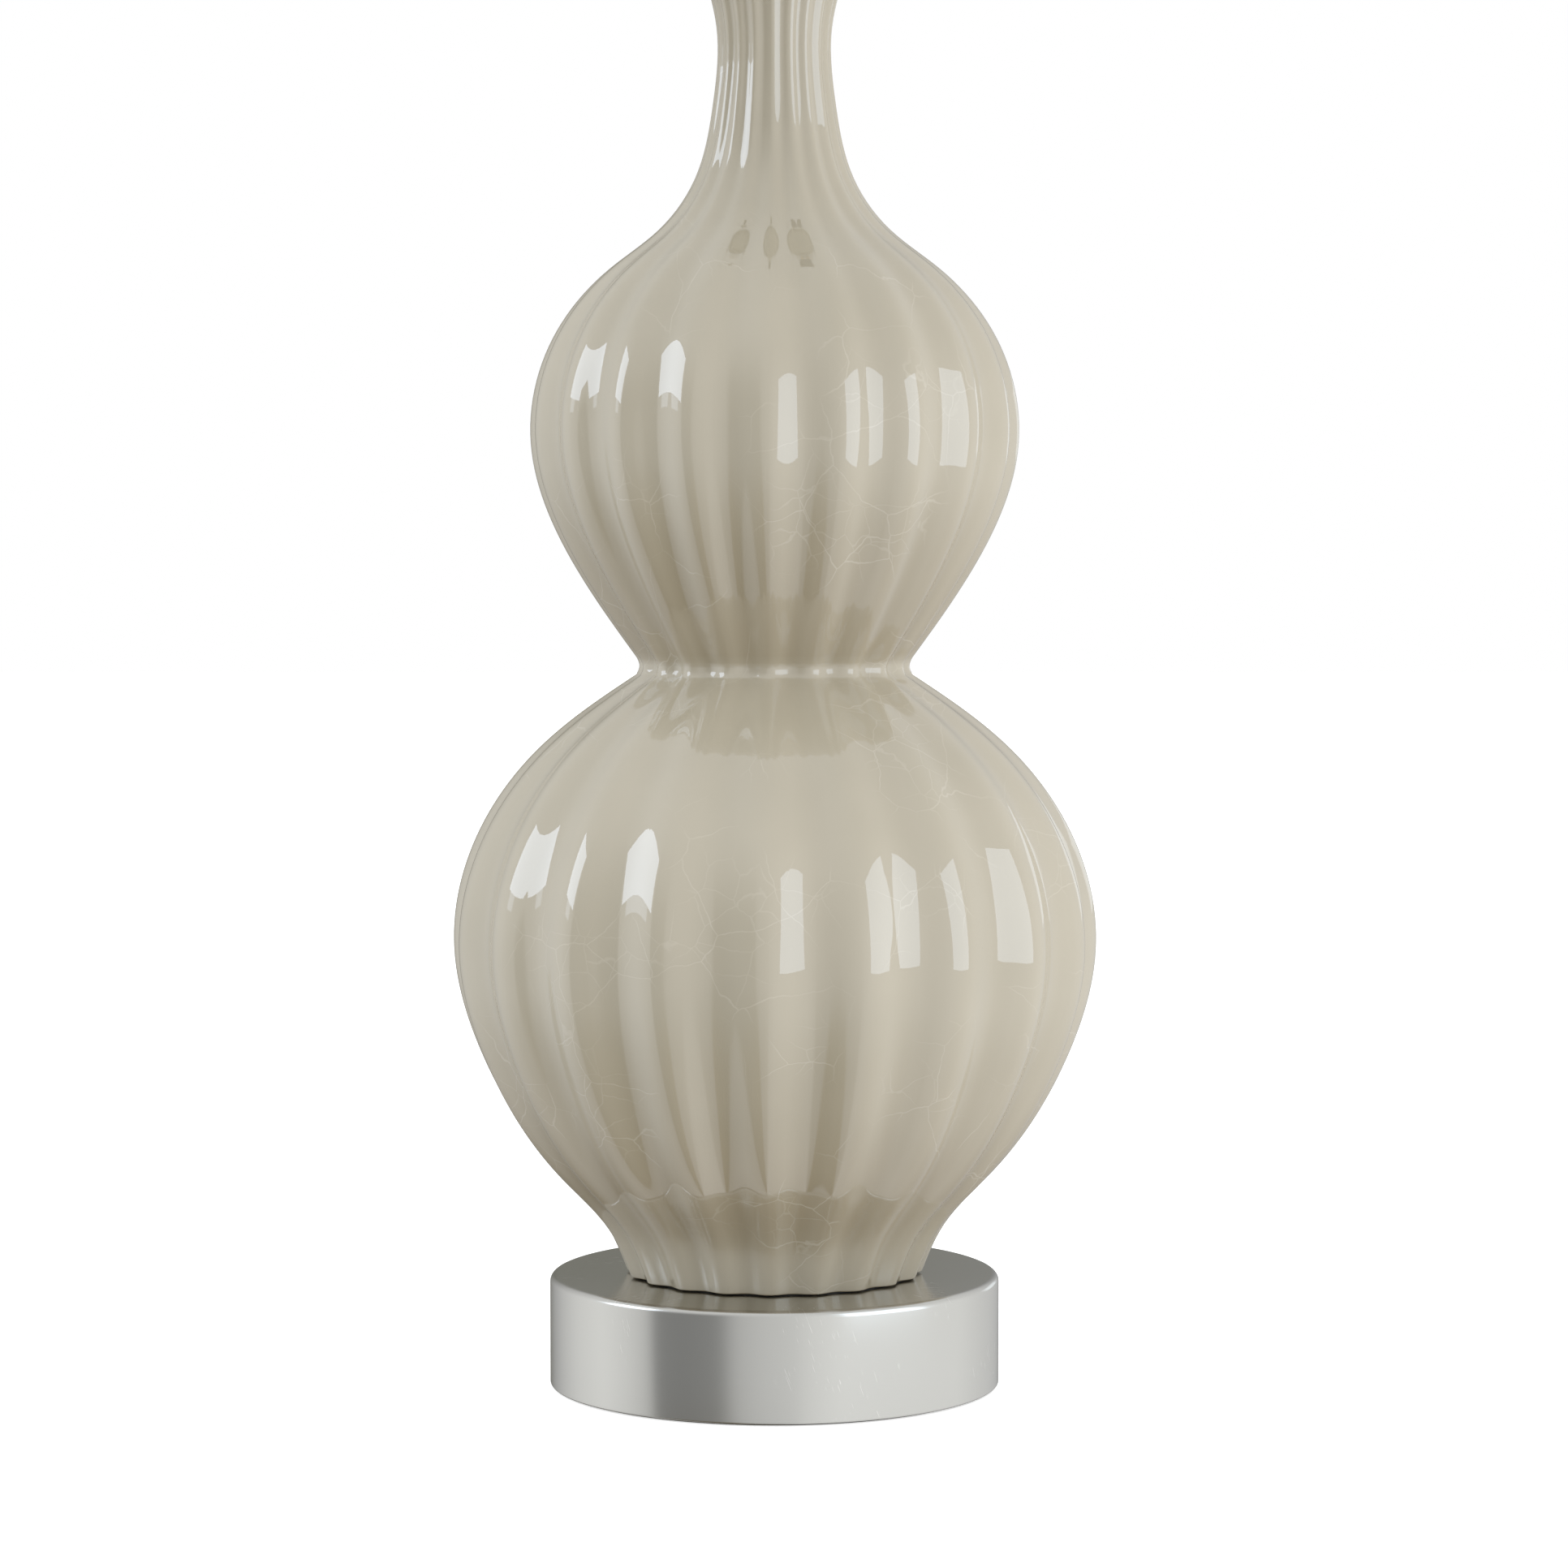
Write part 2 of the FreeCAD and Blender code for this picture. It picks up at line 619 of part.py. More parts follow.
wire_top = wire_under + cell("harp_top_up")
crown_over = cell("crown_over")
crown_side = cell("crown_side")
crown_tall = cell("crown_under") + crown_over
harp_crown = drum("harp_crown", crown_side / math.sqrt(2), crown_tall,
                  seat=wire_top - cell("crown_under"), sides=4)
stud_plan = sketch_on(harp_crown, "stud_plan", "XY_Plane")
circle(stud_plan, cell("stud_radius"))
extrude(harp_crown, "Pad", stud_plan, "stud", crown_tall + cell("stud_tall"))
crown_hole = sketch_on(harp_crown, "crown_hole_plan", "YZ_Plane")
polygon(crown_hole, [cell("harp_wire") + cell("crown_clear")], WIRE_SIDES)
crown_hole.setExpression("AttachmentOffset.Base.y", cell("crown_under").text)
extrude(harp_crown, "Pocket", crown_hole, "crown_hole", crown_side * 2, midplane=True)

ferrule_bore = cell("harp_wire") + cell("ferrule_clear")
ferrule_under = saddle_under + arm_tall + cell("ferrule_clear")
for side, sign in (("left", -1), ("right", 1)):
    drum("harp_ferrule_" + side, ferrule_bore + cell("ferrule_wall"), cell("ferrule_tall"),
         ferrule_bore, seat=ferrule_under, x=sign * leg_x,
         sides=HIDDEN_SIDES, bore_sides=HIDDEN_SIDES)

# ---------------------------------------------------------------------------------------------
# Lamp socket
# ---------------------------------------------------------------------------------------------
hub_under = saddle_under + saddle_thick
hub_tall = cell("hub_tall")
socket_radius = cell("socket_radius")
socket_wall = cell("socket_wall")
cap_tall = cell("socket_cap_tall")
socket_cap = drum("socket_cap", cell("hub_radius"), hub_tall + cap_tall, pipe_hole,
                  seat=hub_under, sides=HIDDEN_SIDES, bore_sides=HIDDEN_SIDES)
cup_plan = sketch_on(socket_cap, "cup_plan", "XY_Plane", lift=hub_tall)
polygon(cup_plan, [socket_radius + cell("socket_cap_over")], RING_SIDES)
polygon(cup_plan, [pipe_hole], HIDDEN_SIDES)
extrude(socket_cap, "Pad", cup_plan, "cup", cap_tall)
set_screw_up = hub_tall / 2
screw_hole = sketch_on(socket_cap, "set_screw_hole_plan", "YZ_Plane")
circle(screw_hole, cell("set_screw_radius") + cell("nut_clear"), 0, set_screw_up)
extrude(socket_cap, "Pocket", screw_hole, "set_screw_hole", cell("hub_radius") * 2,
        reverse=True)

set_screw = drum("socket_set_screw", cell("set_screw_radius"), cell("set_screw_long"),
                 seat=hub_under + set_screw_up, x=pipe_radius + cell("nut_clear"))
set_screw.Placement.Rotation = Rotation(Vector(0, 1, 0), 90)

shell_under = hub_under + hub_tall + cap_tall
drum("lamp_pipe", pipe_radius, shell_under - pipe_under, cell("pipe_bore"), seat=pipe_under,
     sides=HIDDEN_SIDES, bore_sides=HIDDEN_SIDES)

shell_inside = socket_radius - socket_wall
liner_outside = shell_inside - cell("liner_clear")
liner_inside = liner_outside - cell("liner_thick")
block_radius = liner_inside - cell("liner_clear")
stem_up = shell_under + cell("block_tall") / 2
socket_shell = drum("socket_shell", socket_radius, cell("shell_tall"), shell_inside,
                    seat=shell_under, sides=RING_SIDES, bore_sides=RING_SIDES)
shell_liner = drum("shell_liner", liner_outside, cell("shell_tall"), liner_inside,
                   seat=shell_under, sides=HIDDEN_SIDES, bore_sides=HIDDEN_SIDES)
switch_block = drum("switch_block", block_radius, cell("block_tall"), seat=shell_under,
                    sides=HIDDEN_SIDES)
stem_local = stem_up - shell_under
for piece, gap in ((socket_shell, cell("stem_slot_clear")), (shell_liner, cell("stem_slot_clear")),
                   (switch_block, cell("stem_clear"))):
    stem_hole = sketch_on(piece, piece.Label + "_stem_hole_plan", "XZ_Plane")
    circle(stem_hole, cell("stem_radius") + gap, 0, stem_local)
    extrude(piece, "Pocket", stem_hole, piece.Label + "_stem_hole", socket_radius * 2,
            reverse=True)

screw_under = shell_under + cell("block_tall")
screw_outside = cell("screw_radius") + cell("screw_wall")
drum("screw_shell", screw_outside, cell("screw_tall"), cell("screw_radius"), seat=screw_under,
     sides=RING_SIDES)
recess_plan = sketch_on(switch_block, "recess_plan", "XY_Plane",
                        lift=cell("block_tall") - cell("contact_tall"))
polygon(recess_plan, [cell("contact_radius") + cell("liner_clear")], HIDDEN_SIDES)
extrude(switch_block, "Pocket", recess_plan, "recess", cell("contact_tall"), reverse=True)
drum("centre_contact", cell("contact_radius"), cell("contact_tall"),
     seat=screw_under - cell("contact_tall"), sides=HIDDEN_SIDES)

# ---------------------------------------------------------------------------------------------
# Turn knob
# ---------------------------------------------------------------------------------------------
stem_inner = block_radius / 2
stem_long = socket_radius + cell("stem_out") - stem_inner
switch_stem = drum("switch_stem", cell("stem_radius"), stem_long, seat=stem_up, y=-stem_inner)
switch_stem.Placement.Rotation = Rotation(Vector(1, 0, 0), 90)

knob_start = socket_radius + cell("stem_out") - cell("knob_hole_deep")
rib_top = cell("knob_radius")
switch_knob = new_body("switch_knob", stem_up, y=-knob_start)
knob_plan = sketch_on(switch_knob, "knob_plan", "XY_Plane")
polygon(knob_plan, [rib_top, rib_top, rib_top - cell("knob_rib"), rib_top - cell("knob_rib")],
        4 * KNOB_RIBS)
extrude(switch_knob, "Pad", knob_plan, "knob_pad", cell("knob_long"))
stem_plan = sketch_on(switch_knob, "stem_plan", "XY_Plane")
circle(stem_plan, cell("stem_radius") + cell("nut_clear"))
extrude(switch_knob, "Pocket", stem_plan, "stem_hole", cell("knob_hole_deep"), reverse=True)
switch_knob.Placement.Rotation = Rotation(Vector(1, 0, 0), 90)

# ---------------------------------------------------------------------------------------------
# Drum shade: wall, rings and spider
# ---------------------------------------------------------------------------------------------
hub_seat = wire_top + crown_over + cell("seat_gap")
shade_tall = cell("shade_tall")
shade_thick = cell("shade_thick")
shade_radius = cell("shade_radius")
ring_size = cell("ring_size")
ring_in = cell("ring_in")
shade_top = hub_seat + cell("shade_drop") + ring_in
shade_under = shade_top - shade_tall
drum("shade_wall", shade_radius, shade_tall, shade_radius - shade_thick, seat=shade_under)
ring_edge = shade_radius - shade_thick - cell("ring_clear")
ring_inside = ring_edge - ring_size
for label, under in (("shade_top_ring", shade_top - ring_in - ring_size),
                     ("shade_bottom_ring", shade_under + ring_in)):
    drum(label, ring_edge, ring_size, ring_inside, seat=under,
         sides=RING_SIDES, bore_sides=RING_SIDES)

hub_outside = cell("washer_hub_radius")
hub_thick = cell("washer_hub_thick")
shade_spider = drum("shade_spider", hub_outside, hub_thick,
                    cell("stud_radius") + cell("washer_hub_clear"), seat=hub_seat)
arm_reach = ring_inside * math.cos(math.pi / RING_SIDES) - cell("arm_gap")
arm_top = cell("shade_drop")
arm_sketch = sketch_on(shade_spider, "spider_arm_side", "XZ_Plane")
arm_thick = cell("arm_thick")
outline(arm_sketch, [
    (hub_outside - arm_thick, 0),
    (hub_outside * 2, 0),
    (arm_reach - arm_top * 2, arm_top - arm_thick),
    (arm_reach, arm_top - arm_thick),
    (arm_reach, arm_top),
    (arm_reach - arm_top * 2 - arm_thick / 2, arm_top),
    (hub_outside * 2 - arm_thick / 2, hub_thick),
    (hub_outside - arm_thick, hub_thick),
])
arm_pad = extrude(shade_spider, "Pad", arm_sketch, "spider_arm", cell("arm_wide"), midplane=True)
arms = shade_spider.newObject("PartDesign::PolarPattern", "spider_arms_round")
arms.Originals = [arm_pad]
arms.Axis = (shade_spider.Group[0], ["N_Axis"])
arms.Angle = 360
arms.setExpression("Occurrences", "Sizes.spider_arms")
shade_spider.Tip = arms

# ---------------------------------------------------------------------------------------------
# Finial
# ---------------------------------------------------------------------------------------------
finial_under = hub_seat + hub_thick + cell("seat_gap")
stud_top = wire_top + crown_over + cell("stud_tall")
finial_hole = cell("stud_radius") + cell("finial_clear")
finial_hole_deep = stud_top - finial_under + cell("finial_hole_spare")
foot_tall = cell("finial_foot_tall")
head_top = foot_tall + cell("finial_head_tall")
turned("finial", [
    (finial_hole, 0),
    (cell("finial_foot"), 0),
    (cell("finial_foot"), foot_tall),
    (cell("finial_head"), foot_tall),
    (cell("finial_head"), head_top),
    (0, head_top),
    (0, finial_hole_deep),
    (finial_hole, finial_hole_deep),
], seat=finial_under)

# ---------------------------------------------------------------------------------------------
# Check and write
# ---------------------------------------------------------------------------------------------
doc.recompute()
faults = []
for item in doc.Objects:
    if "Invalid" in item.State or "Error" in item.State:
        faults.append("%s is %s" % (item.Label, ", ".join(item.State)))
for piece in PIECES:
    if piece.Shape.isNull() or not piece.Shape.isValid():
        faults.append("%s has no valid shape" % piece.Label)
if faults:
    raise RuntimeError("; ".join(faults))

os.makedirs("parts", exist_ok=True)
for piece in PIECES:
    shape = piece.Shape
    shape.exportStep("parts/%s.step" % piece.Label)
    box = shape.BoundBox
    print("%-20s %d solid  %9.2f cm3  z %7.2f to %7.2f  x %7.2f to %7.2f" % (
        piece.Label, len(shape.Solids), shape.Volume / 1000, box.ZMin, box.ZMax, box.XMin, box.XMax))
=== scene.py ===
"""The dressed double gourd lamp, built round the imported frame.

Places are in metres, in the frame's own axes: +Z up along the lamp, -Y to the front with the
turn knob, +Y to the back with the cord inlet. The sub-assemblies' sizes are in millimetres.
"""

import json
import logging
import math
from dataclasses import dataclass, field
from enum import Enum
from typing import Any, ClassVar, Optional, Sequence

import bpy
import numpy as np
from bpy.types import Curve, ID, Material, Mesh, Node, NodeSocket, NodeTree, Object
from mathutils import Matrix, Vector

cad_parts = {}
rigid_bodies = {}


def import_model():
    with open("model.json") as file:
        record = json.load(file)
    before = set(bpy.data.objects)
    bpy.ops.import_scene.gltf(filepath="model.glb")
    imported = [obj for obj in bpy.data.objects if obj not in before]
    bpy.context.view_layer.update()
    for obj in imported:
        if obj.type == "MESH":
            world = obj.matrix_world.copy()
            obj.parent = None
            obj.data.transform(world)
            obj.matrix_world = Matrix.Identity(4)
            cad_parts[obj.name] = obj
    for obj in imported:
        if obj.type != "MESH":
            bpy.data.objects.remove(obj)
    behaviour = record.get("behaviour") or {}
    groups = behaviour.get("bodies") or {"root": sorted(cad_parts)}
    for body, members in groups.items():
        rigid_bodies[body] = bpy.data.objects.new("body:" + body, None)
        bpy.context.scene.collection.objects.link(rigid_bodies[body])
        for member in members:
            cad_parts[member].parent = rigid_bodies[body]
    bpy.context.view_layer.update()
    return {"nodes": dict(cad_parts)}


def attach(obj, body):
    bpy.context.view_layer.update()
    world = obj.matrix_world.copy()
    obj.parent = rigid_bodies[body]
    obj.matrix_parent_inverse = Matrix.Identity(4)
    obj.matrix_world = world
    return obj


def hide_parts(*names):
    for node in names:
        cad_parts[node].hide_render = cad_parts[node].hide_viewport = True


LOG = logging.getLogger("lamp")
MM = 0.001
FULL_TURN = 2 * math.pi
SHARP_EDGE = math.radians(40)
ROUNDING_STEP = math.radians(16)
MOST_OF_A_SIDE = 0.48
WELD = 0.002 * MM
# Between these lie nearly all the values of a noise.
NOISE_LOW, NOISE_HIGH = 0.3, 0.7
MATH, VECTOR_MATH, RANGE = "ShaderNodeMath", "ShaderNodeVectorMath", "ShaderNodeMapRange"
MIX, NOISE, BUMP = "ShaderNodeMix", "ShaderNodeTexNoise", "ShaderNodeBump"
SPLIT, JOIN = "ShaderNodeSeparateXYZ", "ShaderNodeCombineXYZ"
Spot = tuple[float, float]
Triple = tuple[float, float, float]
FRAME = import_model()


# --- Node trees ------------------------------------------------------------------------------
def connect(tree: NodeTree, node: Node, inputs: dict[Any, Any]) -> None:
    """Set or link a node's inputs.

    Args:
        tree: The node's tree.
        node: The node.
        inputs: Each input's name or number, with the value to set, the socket to link, or the
            node whose first output to link.
    """
    for key, value in inputs.items():
        source = value.outputs[0] if isinstance(value, Node) else value
        if isinstance(source, NodeSocket):
            tree.links.new(source, node.inputs[key])
        else:
            node.inputs[key].default_value = source


def add_node(tree: NodeTree, kind: str, inputs: Optional[dict[Any, Any]] = None,
             **settings: Any) -> Node:
    """Add one node to a tree.

    Args:
        tree: The tree that takes the node.
        kind: Blender's name for the type of node.
        inputs: Its inputs, as connect takes them.
        **settings: The node's own properties, set first.

    Returns:
        The new node.
    """
    node = tree.nodes.new(kind)
    for name, value in settings.items():
        setattr(node, name, value)
    connect(tree, node, inputs or {})
    return node


def linear(hex_colour: str) -> tuple[float, float, float, float]:
    """Turn an sRGB colour into the linear one that shaders take.

    Args:
        hex_colour: Six hex digits after a hash.

    Returns:
        Red, green, blue and an alpha of one.
    """
    parts = [int(hex_colour[i:i + 2], 16) / 255 for i in (1, 3, 5)]
    low = [c / 12.92 if c <= 0.04045 else ((c + 0.055) / 1.055) ** 2.4 for c in parts]
    return (low[0], low[1], low[2], 1.0)


# --- Finishes --------------------------------------------------------------------------------
@dataclass(frozen=True)
class Finish:
    """What a surface is made of and how it was made."""

    name: str
    slot: str
    colour: str
    roughness: float
    metallic: float = 0.0
    ior: Optional[float] = None
    light_reach: float = 0.0

    def material(self) -> Material:
        """The finish as a material, made once.

        Returns:
            The material with this finish's name.
        """
        made = bpy.data.materials.get(self.name)
        if made is not None:
            return made
        made = bpy.data.materials.new(self.name)
        made.use_nodes = True
        made.diffuse_color = linear(self.colour)
        tree = made.node_tree
        shader = tree.nodes["Principled BSDF"]
        values: dict[Any, Any] = {"Base Color": linear(self.colour),
                                  "Roughness": self.roughness, "Metallic": self.metallic}
        if self.ior is not None:
            values["IOR"] = self.ior
        if self.light_reach:
            values.update({"Subsurface Weight": 1.0, "Subsurface Radius": (1.0, 1.0, 1.0),
                           "Subsurface Scale": self.light_reach})
        connect(tree, shader, values)
        self.dress(tree, shader, add_node(tree, "ShaderNodeTexCoord").outputs["Object"])
        return made

    def dress(self, tree: NodeTree, shader: Node, place: NodeSocket) -> None:
        """Add the surface's pattern.

        Args:
            tree: The material's nodes.
            shader: Its principled shader.
            place: The socket of places on the piece, in metres.
        """
        raise NotImplementedError


@dataclass(frozen=True)
class CrackleGlaze(Finish):
    """Earthenware under a thick clear glaze that has crazed as it cooled.

    The crazing shows as fine pale veins in uneven cells. The glaze pools a little darker in
    the flutes. Faces that point down are painted darker and browner, as painted shade under
    the bulges, and there the flutes are painted darker still, as painted shade in them. The
    clear glaze over it gives hard, bright reflections. The veins are drawn 0.28 mm wide,
    coarser than real ones, so that they show.
    """

    shade_colour: str = "#B0A893"
    valley_colour: str = "#9F967F"
    # Painted shade: the darker brown that faces pointing down take.
    underside_shade_colour: str = "#8E7C5C"
    vein_colour: str = "#D8D2C2"
    cell: float = 26 * MM
    # Each net of veins: its cells' size, the veins' strength and the noise where they show.
    nets: tuple[Triple, ...] = ((26 * MM, 0.40, 0.48), (12 * MM, 0.26, 0.56))
    net_fades: float = 0.14
    # By the normal's up part: where the painted shade on faces that point down starts, and where it is
    # full.
    underside_shade_from: float = -0.15
    underside_shade_full: float = -0.80
    vein_wide: float = 0.28 * MM
    vein_raised: float = 0.12
    bend: float = 13 * MM
    cloud: float = 70 * MM
    cloudy: float = 0.45
    clouds_from: float = 0.35
    clouds_full: float = 0.7
    pool_from: float = 0.45
    pooled: float = 0.12
    # How much more the flutes darken on faces that point down: painted shade in them.
    valley_shade_under: float = 0.5
    # The most of the painted shade colour that faces pointing down take.
    underside_shade: float = 0.52
    ripple: float = 14 * MM
    ripple_deep: float = 0.03 * MM
    glaze_ior: float = 1.9

    def dress(self, tree: NodeTree, shader: Node, place: NodeSocket) -> None:
        """Add the veins, the tones and the glaze's ripples.

        Args:
            tree: The material's nodes.
            shader: Its principled shader.
            place: The socket of places on the piece, in metres.
        """
        wander = add_node(tree, NOISE, {"Vector": place, "Scale": 1 / self.cell, "Detail": 4.0})
        bent = add_node(tree, VECTOR_MATH,
                        {0: wander.outputs["Color"], 1: (self.bend,) * 3, 2: place},
                        operation="MULTIPLY_ADD")
        reach = add_node(tree, NOISE,
                         {"Vector": place, "Scale": 1 / (1.6 * self.cell), "Detail": 1.0})
        veins = []
        for cell, strength, shows in self.nets:
            edge = add_node(tree, "ShaderNodeTexVoronoi", {"Vector": bent, "Scale": 1 / cell},
                            feature="DISTANCE_TO_EDGE")
            line = add_node(tree, RANGE,
                            {"Value": edge, 2: self.vein_wide / cell, 3: strength, 4: 0.0},
                            interpolation_type="SMOOTHSTEP")
            seen = add_node(tree, RANGE, {"Value": reach, 1: shows, 2: shows + self.net_fades},
                            interpolation_type="SMOOTHSTEP")
            veins.append(add_node(tree, MATH, {0: line, 1: seen}, operation="MULTIPLY"))
        vein = add_node(tree, MATH, {0: veins[0], 1: veins[1]}, operation="MAXIMUM")
        clouds = add_node(tree, NOISE, {"Vector": place, "Scale": 1 / self.cloud, "Detail": 3.0})
        patch = add_node(tree, RANGE, {"Value": clouds, 1: self.clouds_from, 2: self.clouds_full,
                                       4: self.cloudy})
        # Painted shade: faces that point down turn darker and browner.
        lie = add_node(tree, SPLIT, {0: add_node(tree, "ShaderNodeNewGeometry").outputs["Normal"]})
        under = add_node(tree, RANGE, {"Value": lie.outputs[2], 1: self.underside_shade_from,
                                       2: self.underside_shade_full, 4: self.underside_shade},
                         interpolation_type="SMOOTHSTEP")
        # The flutes darken more on faces that point down: painted shade in them.
        deeper = add_node(tree, MATH, {0: under, 1: self.valley_shade_under, 2: self.pooled},
                          operation="MULTIPLY_ADD")
        valley = add_node(tree, "ShaderNodeAttribute", attribute_name="flute_valley")
        # Darker in the flutes: glaze pooling, and painted shade on the undersides.
        pooled_and_shaded = add_node(tree, RANGE, {"Value": valley.outputs["Fac"], 1: self.pool_from, 4: deeper})
        colour: Any = linear(self.colour)
        for share, over in ((patch, self.shade_colour), (pooled_and_shaded, self.valley_colour),
                            (under, self.underside_shade_colour), (vein, self.vein_colour)):
            colour = add_node(tree, MIX, {0: share, 6: colour, 7: linear(over)},
                              data_type="RGBA").outputs[2]
        waves = add_node(tree, NOISE, {"Vector": bent, "Scale": 1 / self.ripple, "Detail": 1.5})
        height = add_node(tree, MATH, {0: vein, 1: self.vein_raised, 2: waves},
                          operation="MULTIPLY_ADD")
        bump = add_node(tree, BUMP, {"Strength": 1.0, "Distance": self.ripple_deep,
                                     "Height": height})
        connect(tree, shader, {
            "Base Color": colour, "Normal": bump, "Coat Normal": bump, "Coat Weight": 1.0,
            "Coat Roughness": 0.0, "Coat IOR": self.glaze_ior, "Specular IOR Level": 0.0})


@dataclass(frozen=True)
class SatinNickel(Finish):
    """Nickel plate brushed round the piece, very fine.

    The brushing spreads the reflections without showing as lines, and handling has left a few
    short, pale hairline scratches. Brush marks and scratches are drawn 0.5 and 0.22 mm wide,
    coarser than real ones, so that they show.
    """

    bare_colour: str = "#EDECE8"
    turned_radius: float = 75 * MM
    grain: float = 0.5 * MM
    grain_long: float = 30 * MM
    grain_deep: float = 0.002 * MM
    scratch: float = 0.22 * MM
    scratch_long: float = 5 * MM
    scratch_lean: float = 0.35
    scratch_patch: float = 30 * MM
    scratch_rough: float = 0.20
    scratch_pale: float = 0.5
    patches_few: Spot = (0.53, 0.63)
    scratches_few: Spot = (0.76, 0.82)
    rough_either_way: float = 0.01

    def dress(self, tree: NodeTree, shader: Node, place: NodeSocket) -> None:
        """Add the brushing and the scratches.

        Args:
            tree: The material's nodes.
            shader: Its principled shader.
            place: The socket of places on the piece, in metres.
        """
        part = add_node(tree, SPLIT, {0: place})
        up = part.outputs[2]
        turn = add_node(tree, MATH, {0: part.outputs[1], 1: part}, operation="ARCTAN2")
        reach = add_node(tree, VECTOR_MATH, {0: place}, operation="LENGTH").outputs["Value"]
        along = add_node(tree, MATH, {0: turn, 1: self.turned_radius / self.grain_long},
                         operation="MULTIPLY")
        across = add_node(tree, MATH, {0: up, 1: self.grain}, operation="DIVIDE")
        outward = add_node(tree, MATH, {0: reach, 1: self.grain}, operation="DIVIDE")
        rolled = add_node(tree, JOIN, {0: along, 1: outward, 2: across})
        brushed = add_node(tree, NOISE, {"Vector": rolled, "Scale": 1.0, "Detail": 2.0})
        patches = add_node(tree, NOISE,
                           {"Vector": place, "Scale": 1 / self.scratch_patch, "Detail": 1.0})
        near = add_node(tree, RANGE, {"Value": patches, 1: self.patches_few[0],
                                      2: self.patches_few[1], 4: self.scratch_pale},
                        interpolation_type="SMOOTHSTEP")
        round_it = add_node(tree, MATH, {0: turn, 1: self.turned_radius}, operation="MULTIPLY")
        lean = add_node(tree, MATH, {0: up, 1: self.scratch_lean, 2: round_it},
                        operation="MULTIPLY_ADD")
        drawn = add_node(tree, JOIN, {0: up, 1: lean, 2: reach})
        long = 1 / self.scratch_long
        stretched = add_node(tree, VECTOR_MATH, {0: drawn, 1: (long, 1 / self.scratch, long)},
                             operation="MULTIPLY")
        streaks = add_node(tree, NOISE, {"Vector": stretched, "Scale": 1.0, "Detail": 0.0})
        worn = add_node(tree, RANGE, {"Value": streaks, 1: self.scratches_few[0],
                                      2: self.scratches_few[1]},
                        interpolation_type="SMOOTHSTEP")
        scratched = add_node(tree, MATH, {0: near, 1: worn}, operation="MULTIPLY")
        spread = add_node(tree, RANGE, {"Value": brushed, 1: NOISE_LOW, 2: NOISE_HIGH,
                                        3: self.roughness - self.rough_either_way,
                                        4: self.roughness + self.rough_either_way})
        rough = add_node(tree, MATH, {0: scratched, 1: self.scratch_rough, 2: spread},
                         operation="MULTIPLY_ADD")
        bared = add_node(tree, MIX, {0: scratched, 6: linear(self.colour),
                                     7: linear(self.bare_colour)}, data_type="RGBA")
        bump = add_node(tree, BUMP, {"Strength": 0.25, "Distance": self.grain_deep,
                                     "Height": brushed})
        connect(tree, shader, {"Base Color": bared.outputs[2], "Roughness": rough, "Normal": bump})


@dataclass(frozen=True)
class Linen(Finish):
    """Plain-woven linen laminated on a stiff sheet.

    Slubs make some threads thicker than others, and light from outside glows through. The
    threads are drawn 1.1 mm apart, coarser than the real 0.5 mm, so that the weave shows.
    """

    light_reach: float = 4 * MM
    gap_colour: str = "#D8D1C1"
    thread: float = 1.1 * MM
    thread_deep: float = 0.12 * MM
    slub: float = 26 * MM
    slub_share: float = 1.6
    gap_tone: float = 0.3
    crown_tone: float = 2.2
    sheen: float = 0.25
    sheen_rough: float = 0.5

    def dress(self, tree: NodeTree, shader: Node, place: NodeSocket) -> None:
        """Add the weave.

        Args:
            tree: The material's nodes.
            shader: Its principled shader.
            place: Not used: the weave lies on the unrolled cloth.
        """
        flat = add_node(tree, "ShaderNodeUVMap", uv_map="UVMap")
        part = add_node(tree, SPLIT, {0: flat})
        threads = []
        for axis, stretch in ((0, (1 / self.thread, 1 / self.slub, 1.0)),
                              (1, (1 / self.slub, 1 / self.thread, 1.0))):
            wave = add_node(tree, MATH, {0: part.outputs[axis], 1: FULL_TURN / self.thread},
                            operation="MULTIPLY")
            crown = add_node(tree, MATH, {0: wave}, operation="SINE")
            pulled = add_node(tree, VECTOR_MATH, {0: flat, 1: stretch}, operation="MULTIPLY")
            slubs = add_node(tree, NOISE, {"Vector": pulled, "Scale": 1.0, "Detail": 2.0},
                             noise_dimensions="2D")
            threads.append(add_node(tree, MATH, {0: slubs, 1: self.slub_share, 2: crown},
                                    operation="MULTIPLY_ADD"))
        cloth = add_node(tree, MATH, {0: threads[0], 1: threads[1]}, operation="MAXIMUM")
        tone = add_node(tree, RANGE, {"Value": cloth, 1: self.gap_tone, 2: self.crown_tone})
        colour = add_node(tree, MIX, {0: tone, 6: linear(self.gap_colour),
                                      7: linear(self.colour)}, data_type="RGBA")
        bump = add_node(tree, BUMP, {"Strength": 0.5, "Distance": self.thread_deep, "Height": tone})
        connect(tree, shader, {"Base Color": colour.outputs[2], "Normal": bump,
                               "Sheen Weight": self.sheen, "Sheen Roughness": self.sheen_rough})


